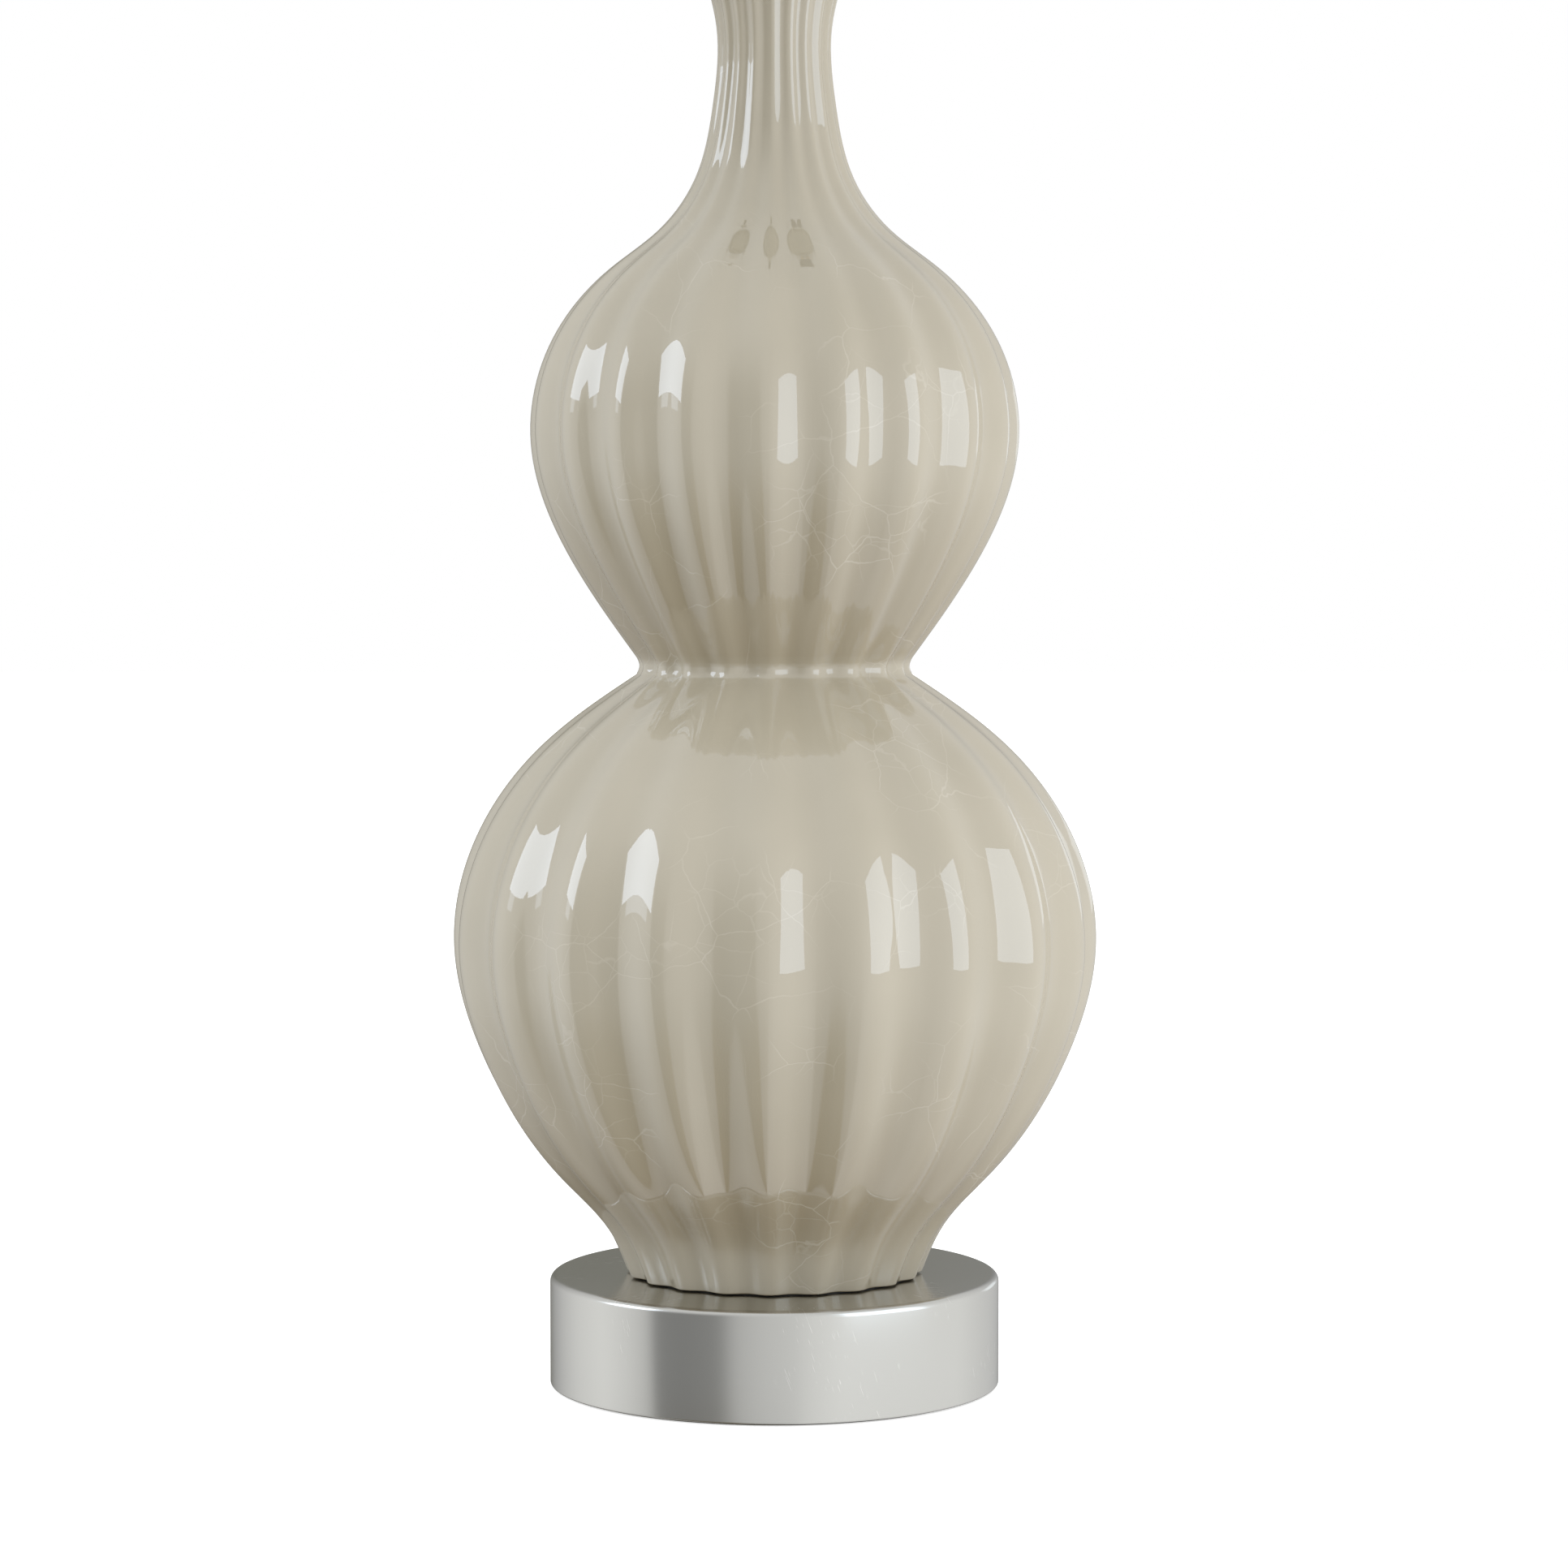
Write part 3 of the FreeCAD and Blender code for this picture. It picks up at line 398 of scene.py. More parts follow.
@dataclass(frozen=True)
class Moulded(Finish):
    """A moulded, sprayed or pressed surface.

    The tool leaves a fine even texture, and use leaves the gloss a little uneven.
    """

    texture: float = 0.8 * MM
    texture_deep: float = 0.02 * MM
    tone_shift: float = 0.12
    tone_size: float = 18 * MM
    deep_tone: float = 0.6
    gloss_between: Spot = (0.93, 1.07)

    def dress(self, tree: NodeTree, shader: Node, place: NodeSocket) -> None:
        """Add the texture and the uneven tone.

        Args:
            tree: The material's nodes.
            shader: Its principled shader.
            place: The socket of places on the piece, in metres.
        """
        grain, cloud = (
            add_node(tree, NOISE, {"Vector": place, "Scale": 1 / size, "Detail": 2.0})
            for size in (self.texture, self.tone_size))
        shift = add_node(tree, RANGE, {"Value": cloud, 1: NOISE_LOW, 2: NOISE_HIGH, 4: self.tone_shift})
        red, green, blue, alpha = linear(self.colour)
        deeper = (red * self.deep_tone, green * self.deep_tone, blue * self.deep_tone, alpha)
        gloss_low, gloss_high = (self.roughness * share for share in self.gloss_between)
        colour = add_node(tree, MIX, {0: shift, 6: linear(self.colour), 7: deeper},
                          data_type="RGBA")
        gloss = add_node(tree, RANGE, {"Value": grain, 1: NOISE_LOW, 2: NOISE_HIGH, 3: gloss_low,
                                       4: min(1.0, gloss_high)})
        bump = add_node(tree, BUMP, {"Strength": 0.5, "Distance": self.texture_deep,
                                     "Height": grain})
        connect(tree, shader, {"Base Color": colour.outputs[2], "Roughness": gloss, "Normal": bump})


# Pale pottery with fine cracks under a hard, bright gloss.
GLAZE = CrackleGlaze("crackle_glazed_earthenware", "glazed_ceramic", "#C4BCA8", 0.42, ior=1.5)
# Plate on a drawn steel shell: a soft, slightly dark mirror.
BASE_NICKEL = SatinNickel("satin_nickel_plate_base", "base_metal", "#C1C1BD", 0.19, 1.0)
# The same plate on small turned fittings, a little paler and softer.
NICKEL = SatinNickel("satin_nickel_plate_fittings", "hardware_metal", "#CFCDC7", 0.22, 1.0)
# Dull grey metal whose reflections are only a sheen.
ZINC = SatinNickel("zinc_plated_steel", "steel", "#B4B5B6", 0.35, 1.0)
# Warm yellow metal, its reflections blurred along the rolling.
BRASS = SatinNickel("rolled_brass", "brass", "#D9B36A", 0.25, 1.0)
# Near-black and rough. Its sand grains are drawn 1.5 mm wide, coarser than real ones.
IRON = Moulded("sand_cast_iron", "cast_iron", "#3A3937", 0.65, 0.6, texture=1.5 * MM,
               texture_deep=0.2 * MM)
# Matt and fuzzy. Its tufts are drawn 0.9 mm wide, far coarser than its fibres.
FELT = Moulded("pressed_wool_felt", "felt", "#2B2A29", 0.95, texture=0.9 * MM,
               texture_deep=0.3 * MM, tone_shift=0.3, tone_size=5 * MM)
# A soft black sheet with a dull sheen.
GASKET = Moulded("sheet_rubber", "gasket", "#26241F", 0.7)
# Dark and half-glossy, with soft highlights.
NYLON = Moulded("moulded_nylon", "bushing", "#2A2A2A", 0.45, ior=1.53)
# Brown-black, hard and half-glossy.
PHENOLIC = Moulded("moulded_phenolic", "phenolic", "#2E2A26", 0.5, ior=1.6)
# Brown-black and glossy, with a small clear highlight on each rib.
KNOB = Moulded("moulded_urea_gloss", "knob", "#27211C", 0.25, ior=1.55)
# Matt brown board, faintly mottled.
PAPER = Moulded("fibre_paper", "liner", "#B89F78", 0.85, texture=0.6 * MM, tone_shift=0.25)
# Off-white cloth that shows its threads and lets light glow through.
LINEN = Linen("laminated_linen", "shade_fabric", "#F0EBDF", 0.85)
# Smooth milky sheet that lets light through.
LINING = Moulded("styrene_lining", "shade_fabric", "#F4F2EC", 0.5, ior=1.55, light_reach=4 * MM)
# White and smooth, with a soft gloss.
ENAMEL = Moulded("white_enamel", "shade_wire", "#EFEDE8", 0.35, ior=1.5)
# Flat white without a highlight.
FLOOR = Moulded("matt_table_paint", "", "#F4F4F3", 0.9, texture=4 * MM)


# --- Rules: geometry node trees that grow the pieces -----------------------------------------
def into_scene(name: str, data: Optional[ID]) -> Object:
    """Put an object into the scene.

    Args:
        name: The object's name.
        data: Its mesh, curve, light or camera.

    Returns:
        The object.
    """
    made = bpy.data.objects.new(name, data)
    bpy.context.scene.collection.objects.link(made)
    return made


def shade(mesh: Mesh) -> None:
    """Shade a mesh smooth with its edges sharp."""
    mesh.shade_smooth()
    mesh.set_sharp_from_angle(angle=SHARP_EDGE)


def apply_modifiers(piece: Object) -> None:
    """Make a piece's modifiers part of its mesh.

    Args:
        piece: The piece.
    """
    ready = bpy.context.evaluated_depsgraph_get()
    mesh = bpy.data.meshes.new_from_object(piece.evaluated_get(ready), depsgraph=ready)
    piece.modifiers.clear()
    piece.data = mesh
    shade(mesh)


class Rule:
    """A geometry node tree with named inputs, grown on a piece and made a plain mesh."""

    name: ClassVar[str]
    counts: ClassVar[tuple[str, ...]]
    floats: ClassVar[tuple[str, ...]]

    def __init__(self) -> None:
        """Build the tree with its inputs."""
        self.tree = bpy.data.node_groups.new(self.name, "GeometryNodeTree")
        kinds = {"Geometry": "NodeSocketGeometry", **dict.fromkeys(self.counts, "NodeSocketInt"),
                 **dict.fromkeys(self.floats, "NodeSocketFloat"), "Finish": "NodeSocketMaterial"}
        for label, kind in kinds.items():
            self.tree.interface.new_socket(label, in_out="INPUT", socket_type=kind)
        self.tree.interface.new_socket("Geometry", in_out="OUTPUT",
                                       socket_type="NodeSocketGeometry")
        given = add_node(self.tree, "NodeGroupInput").outputs
        real = add_node(self.tree, "GeometryNodeRealizeInstances", {"Geometry": self.grow(given)})
        dressed = add_node(self.tree, "GeometryNodeSetMaterial",
                           {"Geometry": real, "Material": given["Finish"]})
        add_node(self.tree, "NodeGroupOutput", {0: dressed})

    def grow(self, given: Any) -> Node:
        """Add the nodes of the rule.

        Args:
            given: The tree's named inputs.

        Returns:
            The node that gives the grown geometry.
        """
        raise NotImplementedError

    def piece(self, name: str, seed: ID, finish: Finish, sizes: dict[str, float]) -> Object:
        """Grow a piece from its seed geometry.

        Args:
            name: The piece's name.
            seed: The mesh or curve that the rule starts from.
            finish: The piece's finish.
            sizes: A value for each of the tree's inputs.

        Returns:
            The piece as a plain mesh object.
        """
        carrier = into_scene(name + "_seed", seed)
        modifier = carrier.modifiers.new(self.name, "NODES")
        modifier.node_group = self.tree
        values: dict[str, Any] = dict(sizes, Finish=finish.material())
        for item in self.tree.interface.items_tree:
            if item.in_out == "INPUT" and item.name in values:
                modifier[item.identifier] = values[item.name]
        ready = bpy.context.evaluated_depsgraph_get()
        mesh = bpy.data.meshes.new_from_object(
            carrier.evaluated_get(ready), preserve_all_data_layers=True, depsgraph=ready)
        mesh.name = name
        bpy.data.objects.remove(carrier)
        if not mesh.materials:
            mesh.materials.append(finish.material())
        shade(mesh)
        return into_scene(name, mesh)


class TurningRule(Rule):
    """A profile carried round the axis, with flutes and a thread where its points ask."""

    name = "turned_round_the_axis"
    counts = ("Around",)
    floats = ("Flutes", "Flute Depth", "First Ridge", "Thread Pitch", "Thread Depth", "Unrolled")
    plain: ClassVar[dict[str, float]] = dict.fromkeys(floats, 0.0) | {"Unrolled": 1.0}

    def grow(self, given: Any) -> Node:
        """Lay a grid with a row for each point of the profile, and roll it up.

        Args:
            given: The tree's named inputs.

        Returns:
            The node that gives the rolled-up grid.
        """
        tree, profile = self.tree, given["Geometry"]
        known: dict[Any, Any] = {label: given[label] for label in self.counts + self.floats}
        known["count"] = add_node(tree, "GeometryNodeAttributeDomainSize",
                                  {"Geometry": profile}).outputs["Point Count"]
        known["index"] = add_node(tree, "GeometryNodeInputIndex")
        known["row"] = add_node(tree, MATH, {0: known["index"], 1: known["count"]},
                                operation="MODULO")
        spot = add_node(tree, "GeometryNodeSampleIndex",
                        {"Geometry": profile, "Index": known["row"],
                         "Value": add_node(tree, "GeometryNodeInputPosition")},
                        data_type="FLOAT_VECTOR", domain="POINT")
        at = add_node(tree, SPLIT, {0: spot})
        known.update(out=at.outputs[0], up=at.outputs[2])
        for label in ("pattern_share", "along"):
            named = add_node(tree, "GeometryNodeInputNamedAttribute", {"Name": label},
                             data_type="FLOAT")
            known[label] = add_node(tree, "GeometryNodeSampleIndex",
                                    {"Geometry": profile, "Value": named,
                                     "Index": known["row"]}, data_type="FLOAT", domain="POINT")
        for result, operation, *terms in (
                ("columns", "ADD", "Around", 1.0),
                ("ahead", "SUBTRACT", "index", "row"),
                ("column", "DIVIDE", "ahead", "count"),
                ("share", "DIVIDE", "column", "Around"),
                ("angle", "MULTIPLY", "share", FULL_TURN),
                ("from_ridge", "SUBTRACT", "angle", "First Ridge"),
                ("phase", "MULTIPLY", "from_ridge", "Flutes"),
                ("wave", "COSINE", "phase"),
                ("dip", "MULTIPLY_ADD", "wave", -0.5, 0.5),
                ("valley", "MULTIPLY", "dip", "pattern_share"),
                ("cut", "MULTIPLY", "valley", "Flute Depth"),
                ("kept", "SUBTRACT", 1.0, "cut"),
                ("turns", "DIVIDE", "up", "Thread Pitch"),
                ("wound", "SUBTRACT", "turns", "share"),
                ("wound_angle", "MULTIPLY", "wound", FULL_TURN),
                ("crest", "COSINE", "wound_angle"),
                ("lift", "MULTIPLY", "crest", "Thread Depth"),
                ("thread", "MULTIPLY", "lift", "pattern_share"),
                ("radius", "MULTIPLY_ADD", "out", "kept", "thread"),
                ("sine", "SINE", "angle"),
                ("cosine", "COSINE", "angle"),
                ("right", "MULTIPLY", "sine", "radius"),
                ("behind", "MULTIPLY", "cosine", "radius"),
                ("front", "MULTIPLY", "behind", -1.0),
                ("unrolled", "MULTIPLY", "share", "Unrolled")):
            known[result] = add_node(
                tree, MATH, {k: known.get(term, term) for k, term in enumerate(terms)},
                operation=operation)
        point = add_node(tree, JOIN, {0: known["right"], 1: known["front"], 2: known["up"]})
        flat = add_node(tree, JOIN, {0: known["unrolled"], 1: known["along"]})
        flat_here = add_node(tree, "GeometryNodeFieldOnDomain", {0: flat},
                             data_type="FLOAT_VECTOR", domain="POINT")
        grid = add_node(tree, "GeometryNodeMeshGrid",
                        {"Vertices X": known["columns"], "Vertices Y": known["count"]})
        marked = add_node(tree, "GeometryNodeStoreNamedAttribute",
                          {"Geometry": grid, "Name": "flute_valley", "Value": known["valley"]},
                          data_type="FLOAT", domain="POINT")
        mapped = add_node(tree, "GeometryNodeStoreNamedAttribute",
                          {"Geometry": marked, "Name": "UVMap", "Value": flat_here},
                          data_type="FLOAT2", domain="CORNER")
        moved = add_node(tree, "GeometryNodeSetPosition", {"Geometry": mapped, "Position": point})
        return add_node(tree, "GeometryNodeMergeByDistance",
                        {"Geometry": moved, "Distance": WELD})


class WireRule(Rule):
    """Round wire swept along a path."""

    name = "wire_along_a_path"
    counts = ("Sides",)
    floats = ("Wire Radius",)

    def grow(self, given: Any) -> Node:
        """Sweep a circle along the path.

        Args:
            given: The tree's named inputs.

        Returns:
            The node that gives the wire.
        """
        section = add_node(self.tree, "GeometryNodeCurvePrimitiveCircle",
                           {"Resolution": given["Sides"], "Radius": given["Wire Radius"]})
        return add_node(self.tree, "GeometryNodeCurveToMesh",
                        {"Curve": given["Geometry"], "Profile Curve": section, "Fill Caps": True})


class SpokeRule(WireRule):
    """One arm of round wire repeated round the axis."""

    name = "arms_round_a_hub"
    counts = ("Arms", "Sides")

    def grow(self, given: Any) -> Node:
        """Set the arm on a point at the axis for each turn.

        Args:
            given: The tree's named inputs.

        Returns:
            The node that gives the arms.
        """
        tree = self.tree
        pitch = add_node(tree, MATH, {0: FULL_TURN, 1: given["Arms"]}, operation="DIVIDE")
        angle = add_node(tree, MATH, {0: add_node(tree, "GeometryNodeInputIndex"), 1: pitch},
                         operation="MULTIPLY")
        return add_node(tree, "GeometryNodeInstanceOnPoints",
                        {"Points": add_node(tree, "GeometryNodePoints", {"Count": given["Arms"]}),
                         "Instance": super().grow(given),
                         "Rotation": add_node(tree, JOIN, {2: angle})})


# --- Seeds and placing -----------------------------------------------------------------------
def rounded(corners: Sequence[tuple[float, ...]], closed: bool = True) -> list[Spot]:
    """Round the corners of a profile.

    Args:
        corners: Radius and height of each corner in millimetres, with its rounding where it
            has one.
        closed: Whether the last corner joins the first.

    Returns:
        Radius and height of each point of the profile, in millimetres.
    """
    count = len(corners)
    points: list[Spot] = []
    for k, corner in enumerate(corners):
        here = Vector(corner[:2])
        size = corner[2] if len(corner) > 2 else 0.0
        if size <= 0 or (not closed and k in (0, count - 1)):
            points.append((here.x, here.y))
            continue
        back = Vector(corners[k - 1][:2]) - here
        on = Vector(corners[(k + 1) % count][:2]) - here
        half = back.angle(on) / 2
        leg = min(size / math.tan(half), MOST_OF_A_SIDE * back.length, MOST_OF_A_SIDE * on.length)
        radius = leg * math.tan(half)
        start, end = here + back.normalized() * leg, here + on.normalized() * leg
        centre = here + (back.normalized() + on.normalized()).normalized() * (
            radius / math.sin(half))
        first, last = start - centre, end - centre
        sweep = math.atan2(first.x * last.y - first.y * last.x, first.dot(last))
        steps = max(2, math.ceil(abs(sweep) / ROUNDING_STEP))
        for step in range(steps + 1):
            turned = Matrix.Rotation(sweep * step / steps, 2) @ first
            points.append((centre.x + turned.x, centre.y + turned.y))
    if closed:
        points.append(points[0])
    return points


def smooth_through(points: Sequence[Spot], spacing: float) -> list[Spot]:
    """A natural cubic spline through points, cut at an even spacing.

    Args:
        points: Radius and height of each place in millimetres.
        spacing: About how far apart the cuts are, in millimetres.

    Returns:
        Radius and height of each cut, in millimetres.
    """
    known = np.array(points, float)
    step = np.linalg.norm(np.diff(known, axis=0), axis=1)
    knots = np.concatenate(([0.0], np.cumsum(step)))
    count = len(known)
    grid, slope = np.eye(count), np.zeros((count, 2))
    for k in range(1, count - 1):
        grid[k, k - 1:k + 2] = step[k - 1], 2 * (step[k - 1] + step[k]), step[k]
        slope[k] = 6 * ((known[k + 1] - known[k]) / step[k]
                        - (known[k] - known[k - 1]) / step[k - 1])
    bend = np.linalg.solve(grid, slope)
    at = np.linspace(0.0, knots[-1], max(2, round(knots[-1] / spacing)) + 1)
    span = np.clip(np.searchsorted(knots, at, side="right") - 1, 0, count - 2)
    long, left = step[span][:, None], (at - knots[span])[:, None]
    right = long - left
    cuts = (bend[span] * right ** 3 / (6 * long) + bend[span + 1] * left ** 3 / (6 * long)
            + (known[span] / long - bend[span] * long / 6) * right
            + (known[span + 1] / long - bend[span + 1] * long / 6) * left)
    return [(float(r), float(z)) for r, z in cuts]


def profile_seed(name: str, points: Sequence[Spot], patterned: Optional[Triple] = None,
                 depths: Sequence[Spot] = ((0.0, 1.0),)) -> Mesh:
    """A profile as a line of points for the turning rule.

    Args:
        name: The piece's name.
        points: Radius and height of each point in millimetres.
        patterned: The lowest and highest place of the flutes or thread and the least radius
            that they reach, or None where they cover the whole profile.
        depths: Heights in millimetres with the share of the full depth at each.

    Returns:
        The mesh of the line, in metres.
    """
    heights, parts = zip(*depths)
    mesh = bpy.data.meshes.new(name + "_profile")
    mesh.from_pydata([(r * MM, 0.0, z * MM) for r, z in points],
                     [(k, k + 1) for k in range(len(points) - 1)], [])
    shares, lengths, long = [], [], 0.0
    for k, (r, z) in enumerate(points):
        if k:
            long += math.dist(points[k - 1], points[k]) * MM
        lengths.append(long)
        inside = patterned is None or (patterned[0] <= z <= patterned[1] and r >= patterned[2])
        shares.append(float(np.interp(z, heights, parts)) if inside else 0.0)
    for label, values in (("pattern_share", shares), ("along", lengths)):
        mesh.attributes.new(label, "FLOAT", "POINT").data.foreach_set("value", values)
    return mesh


def path_seed(name: str, points: Sequence[Vector], cyclic: bool = False) -> Curve:
    """A path for the wire rule.

    Args:
        name: The piece's name.
        points: The path's points in metres.
        cyclic: Whether the path closes on itself.

    Returns:
        The curve.
    """
    curve = bpy.data.curves.new(name + "_path", "CURVE")
    curve.dimensions = "3D"
    line = curve.splines.new("POLY")
    line.points.add(len(points) - 1)
    for spot, place in zip(line.points, points):
        spot.co = (*place, 1.0)
    line.use_cyclic_u = cyclic
    return curve


class Facing(Enum):
    """The way that a turned piece's own axis points."""

    UP = Matrix.Identity(4)
    FRONT = Matrix.Rotation(math.radians(90), 4, "X")
    BACK = Matrix.Rotation(math.radians(-90), 4, "X")


@dataclass
class Workshop:
    """The rules, and how a finished piece joins the lamp."""

    turning: TurningRule = field(default_factory=TurningRule)
    wire: WireRule = field(default_factory=WireRule)
    spokes: SpokeRule = field(default_factory=SpokeRule)

    def fit(self, piece: Object, body: str, finish: Finish, nodes: Sequence[str] = ()) -> Object:
        """Let a piece ride on its body in place of its solids.

        Args:
            piece: The piece, in place.
            body: The body that it moves with.
            finish: Not used.
            nodes: The solids that it stands for.

        Returns:
            The same piece.
        """
        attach(piece, body)
        if nodes:
            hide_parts(*nodes)
        LOG.info("%s: %d faces on %s", piece.name, len(piece.data.polygons), body)
        return piece

    def turned(self, name: str, points: Sequence[Spot], finish: Finish, body: str = "lamp",
               nodes: Sequence[str] = (), around: int = 96, patterned: Optional[Triple] = None,
               depths: Sequence[Spot] = ((0.0, 1.0),), facing: Facing = Facing.UP,
               at: Triple = (0.0, 0.0, 0.0), **sizes: float) -> Object:
        """Turn a piece from its profile and fit it.

        Args:
            name: The piece's name.
            points: Radius and height of each profile point in millimetres.
            finish: Its finish.
            body: The body that it moves with.
            nodes: The solids that it stands for.
            around: How many steps go round the axis.
            patterned: Where flutes or a thread lie, as profile_seed takes it.
            depths: How deep they are by height, as profile_seed takes it.
            facing: The way that the piece's axis points.
            at: The place of its origin in millimetres.
            **sizes: Flutes, depths and thread of the turning rule.

        Returns:
            The piece.
        """
        values = dict(TurningRule.plain, Around=around)
        values.update({key.replace("_", " ").title(): size for key, size in sizes.items()})
        seed = profile_seed(name, points, patterned, depths)
        piece = self.turning.piece(name, seed, finish, values)
        piece.data.transform(Matrix.Translation(Vector(at) * MM) @ facing.value)
        return self.fit(piece, body, finish, nodes)

    def drill(self, piece: Object, radius: float, near: float, far: float, height: float,
              facing: Facing, around: int = 32) -> None:
        """Drill a level hole through a piece's wall.

        Args:
            piece: The piece.
            radius: The hole's radius in millimetres.
            near: How far from the lamp's axis it starts.
            far: How far from the lamp's axis it ends.
            height: How high it lies.
            facing: The way that it points.
            around: How many steps go round it.
        """
        seed = profile_seed("drill", [(0.0, near), (radius, near), (radius, far), (0.0, far)])
        bit = self.turning.piece("drill", seed, NICKEL, dict(TurningRule.plain, Around=around))
        bit.data.transform(Matrix.Translation((0, 0, height * MM)) @ facing.value)
        cut = piece.modifiers.new("hole", "BOOLEAN")
        cut.object, cut.operation, cut.solver = bit, "DIFFERENCE", "EXACT"
        apply_modifiers(piece)
        bpy.data.objects.remove(bit)


def dress_solid(node: str, finish: Finish) -> None:
    """Give a solid that stays in view its finish.

    Args:
        node: The solid's name.
        finish: Its finish.
    """
    solid = FRAME["nodes"][node]
    solid.data.materials.clear()
    solid.data.materials.append(finish.material())
    LOG.info("%s: the solid, dressed", node)


# --- Sub-assemblies (sizes in millimetres) ---------------------------------------------------
@dataclass
class Base:
    """The weighted metal drum with its pad and cord inlet."""

    shop: Workshop
    radius: float = 76.2
    under: float = 0.6
    top: float = 37.8
    wall: float = 1.5
    pipe_hole: float = 5.4
    pad_radius: float = 74.1
    pad_thick: float = 2.0
    inlet_up: float = 12.2
    inlet_radius: float = 4.6
    inlet_clear: float = 0.1

    def drum(self) -> None:
        """The drawn shell, open below, with the inlet's hole through its back."""
        inside, ceiling = self.radius - self.wall, self.top - self.wall
        shell = self.shop.turned("base_drum", rounded([
            (inside, self.under, 0.5), (self.radius, self.under, 1.2),
            (self.radius, self.top, 2.4), (self.pipe_hole, self.top), (self.pipe_hole, ceiling),
            (inside, ceiling, 1.5)]), BASE_NICKEL, nodes=["base_shell"], around=224)
        self.shop.drill(shell, radius=self.inlet_radius + self.inlet_clear, near=70.0, far=80.0,
                        height=self.inlet_up, facing=Facing.BACK, around=40)

    def build(self) -> None:
        """Build the drum, the pad, the inlet's bushing and the clamping parts."""
        self.drum()
        self.shop.turned("felt_disc", rounded([
            (0.0, 0.0), (self.pad_radius, 0.0, 0.6), (self.pad_radius, self.pad_thick, 0.4),
            (0.0, self.pad_thick)], closed=False), FELT, nodes=["felt_pad"], around=160)
        self.shop.turned("inlet_grommet", rounded([
            (3.4, 0.0, 0.6), (self.inlet_radius, 0.0, 0.5), (self.inlet_radius, 8.1),
            (6.3, 8.1, 0.4), (6.3, 9.9, 0.9), (3.4, 9.9, 1.0)]), NYLON, nodes=["inlet_bushing"],
            around=56, facing=Facing.BACK, at=(0.0, 67.7, self.inlet_up))
        for node, finish in (("base_weight", IRON), ("pipe_washer", ZINC), ("pipe_nut", ZINC),
                             ("lamp_pipe", ZINC)):
            dress_solid(node, finish)


@dataclass
class GourdBody:
    """The fluted double gourd and the gasket under it.

    Each stretch of the outline holds rises with the ridge's radius at each. The flutes are
    shallower on the two shoulders.
    """

    shop: Workshop
    under: float = 38.3
    flutes: int = 20
    first_ridge: float = -1.8
    flute_deep: float = 2.35
    wall: float = 6.0
    floor: float = 8.0
    bore: float = 5.6
    foot_radius: float = 50.1
    spacings: tuple[float, ...] = (3.0, 0.8, 3.0)
    lower: tuple[Spot, ...] = (
        (15.7, 57.4), (18.0, 73.5), (16.0, 86.3), (24.0, 99.3), (39.0, 108.8), (35.0, 101.1),
        (30.0, 79.9), (25.2, 46.6))
    waist: tuple[Spot, ...] = ((2.8, 45.6), (2.8, 46.5))
    upper: tuple[Spot, ...] = (
        (29.2, 66.4), (45.0, 82.2), (33.0, 74.6), (24.0, 54.5), (12.0, 39.1), (18.0, 26.35),
        (24.0, 20.6), (25.0, 19.3), (21.0, 24.5))
    depths: tuple[Spot, ...] = (
        (110.0, 1.0), (150.0, 0.88), (190.0, 0.70), (228.0, 0.68), (238.0, 0.85), (244.0, 1.0),
        (285.0, 1.0), (325.0, 0.88), (350.0, 0.70), (400.0, 0.68), (425.0, 0.9), (445.0, 1.0))

    def stations(self) -> list[list[Spot]]:
        """The outline's named places, as three stretches that share their ends.

        Returns:
            Radius and height of each place, stretch by stretch.
        """
        stretches: list[list[Spot]] = []
        last = (self.foot_radius, self.under)
        for steps in (self.lower, self.waist, self.upper):
            stretch = [last]
            for rise, radius in steps:
                last = (radius, last[1] + rise)
                stretch.append(last)
            stretches.append(stretch)
        return stretches

    def share(self) -> float:
        """A flute's depth as a share of the radius."""
        return self.flute_deep / self.foot_radius

    def profile(self) -> list[Spot]:
        """The whole section: foot, outside, lip and hollow.

        Returns:
            Radius and height of each point.
        """
        outside: list[Spot] = []
        places = self.stations()
        for stretch, spacing in zip(places, self.spacings):
            outside += smooth_through(stretch, spacing)[1 if outside else 0:]
        top_radius, top = outside[-1]
        foot, outside = outside[0], outside[1:-1]
        inside = [(r * (1 - self.share()) - self.wall, z)
                  for stretch in places for r, z in stretch[1:]]
        inside[-1] = (inside[-2][0], top)
        lip = rounded([outside[-1], (top_radius, top, 1.2), (inside[-1][0], top, 1.5),
                       inside[-2]], closed=False)[1:-1]
        start = rounded([(self.bore, self.under), (foot[0], foot[1], 0.9), outside[0]],
                        closed=False)[:-1]
        hollow_foot = self.under + self.floor
        return (start + outside + lip + inside[-2::-1]
                + [(foot[0] * (1 - self.share()) - self.wall, hollow_foot),
                   (self.bore, hollow_foot), (self.bore, self.under)])

    def build(self) -> None:
        """Build the body and its gasket."""
        self.shop.turned(
            "fluted_gourd", self.profile(), GLAZE, nodes=["gourd_body"], around=320,
            depths=self.depths, flutes=self.flutes, flute_depth=self.share(),
            first_ridge=math.radians(self.first_ridge), unrolled=0.6)
        self.shop.turned("gasket_ring", rounded([
            (39.8, 37.8), (46.7, 37.8), (46.7, self.under), (39.8, self.under)]),
            GASKET, nodes=["foot_gasket"], around=120)


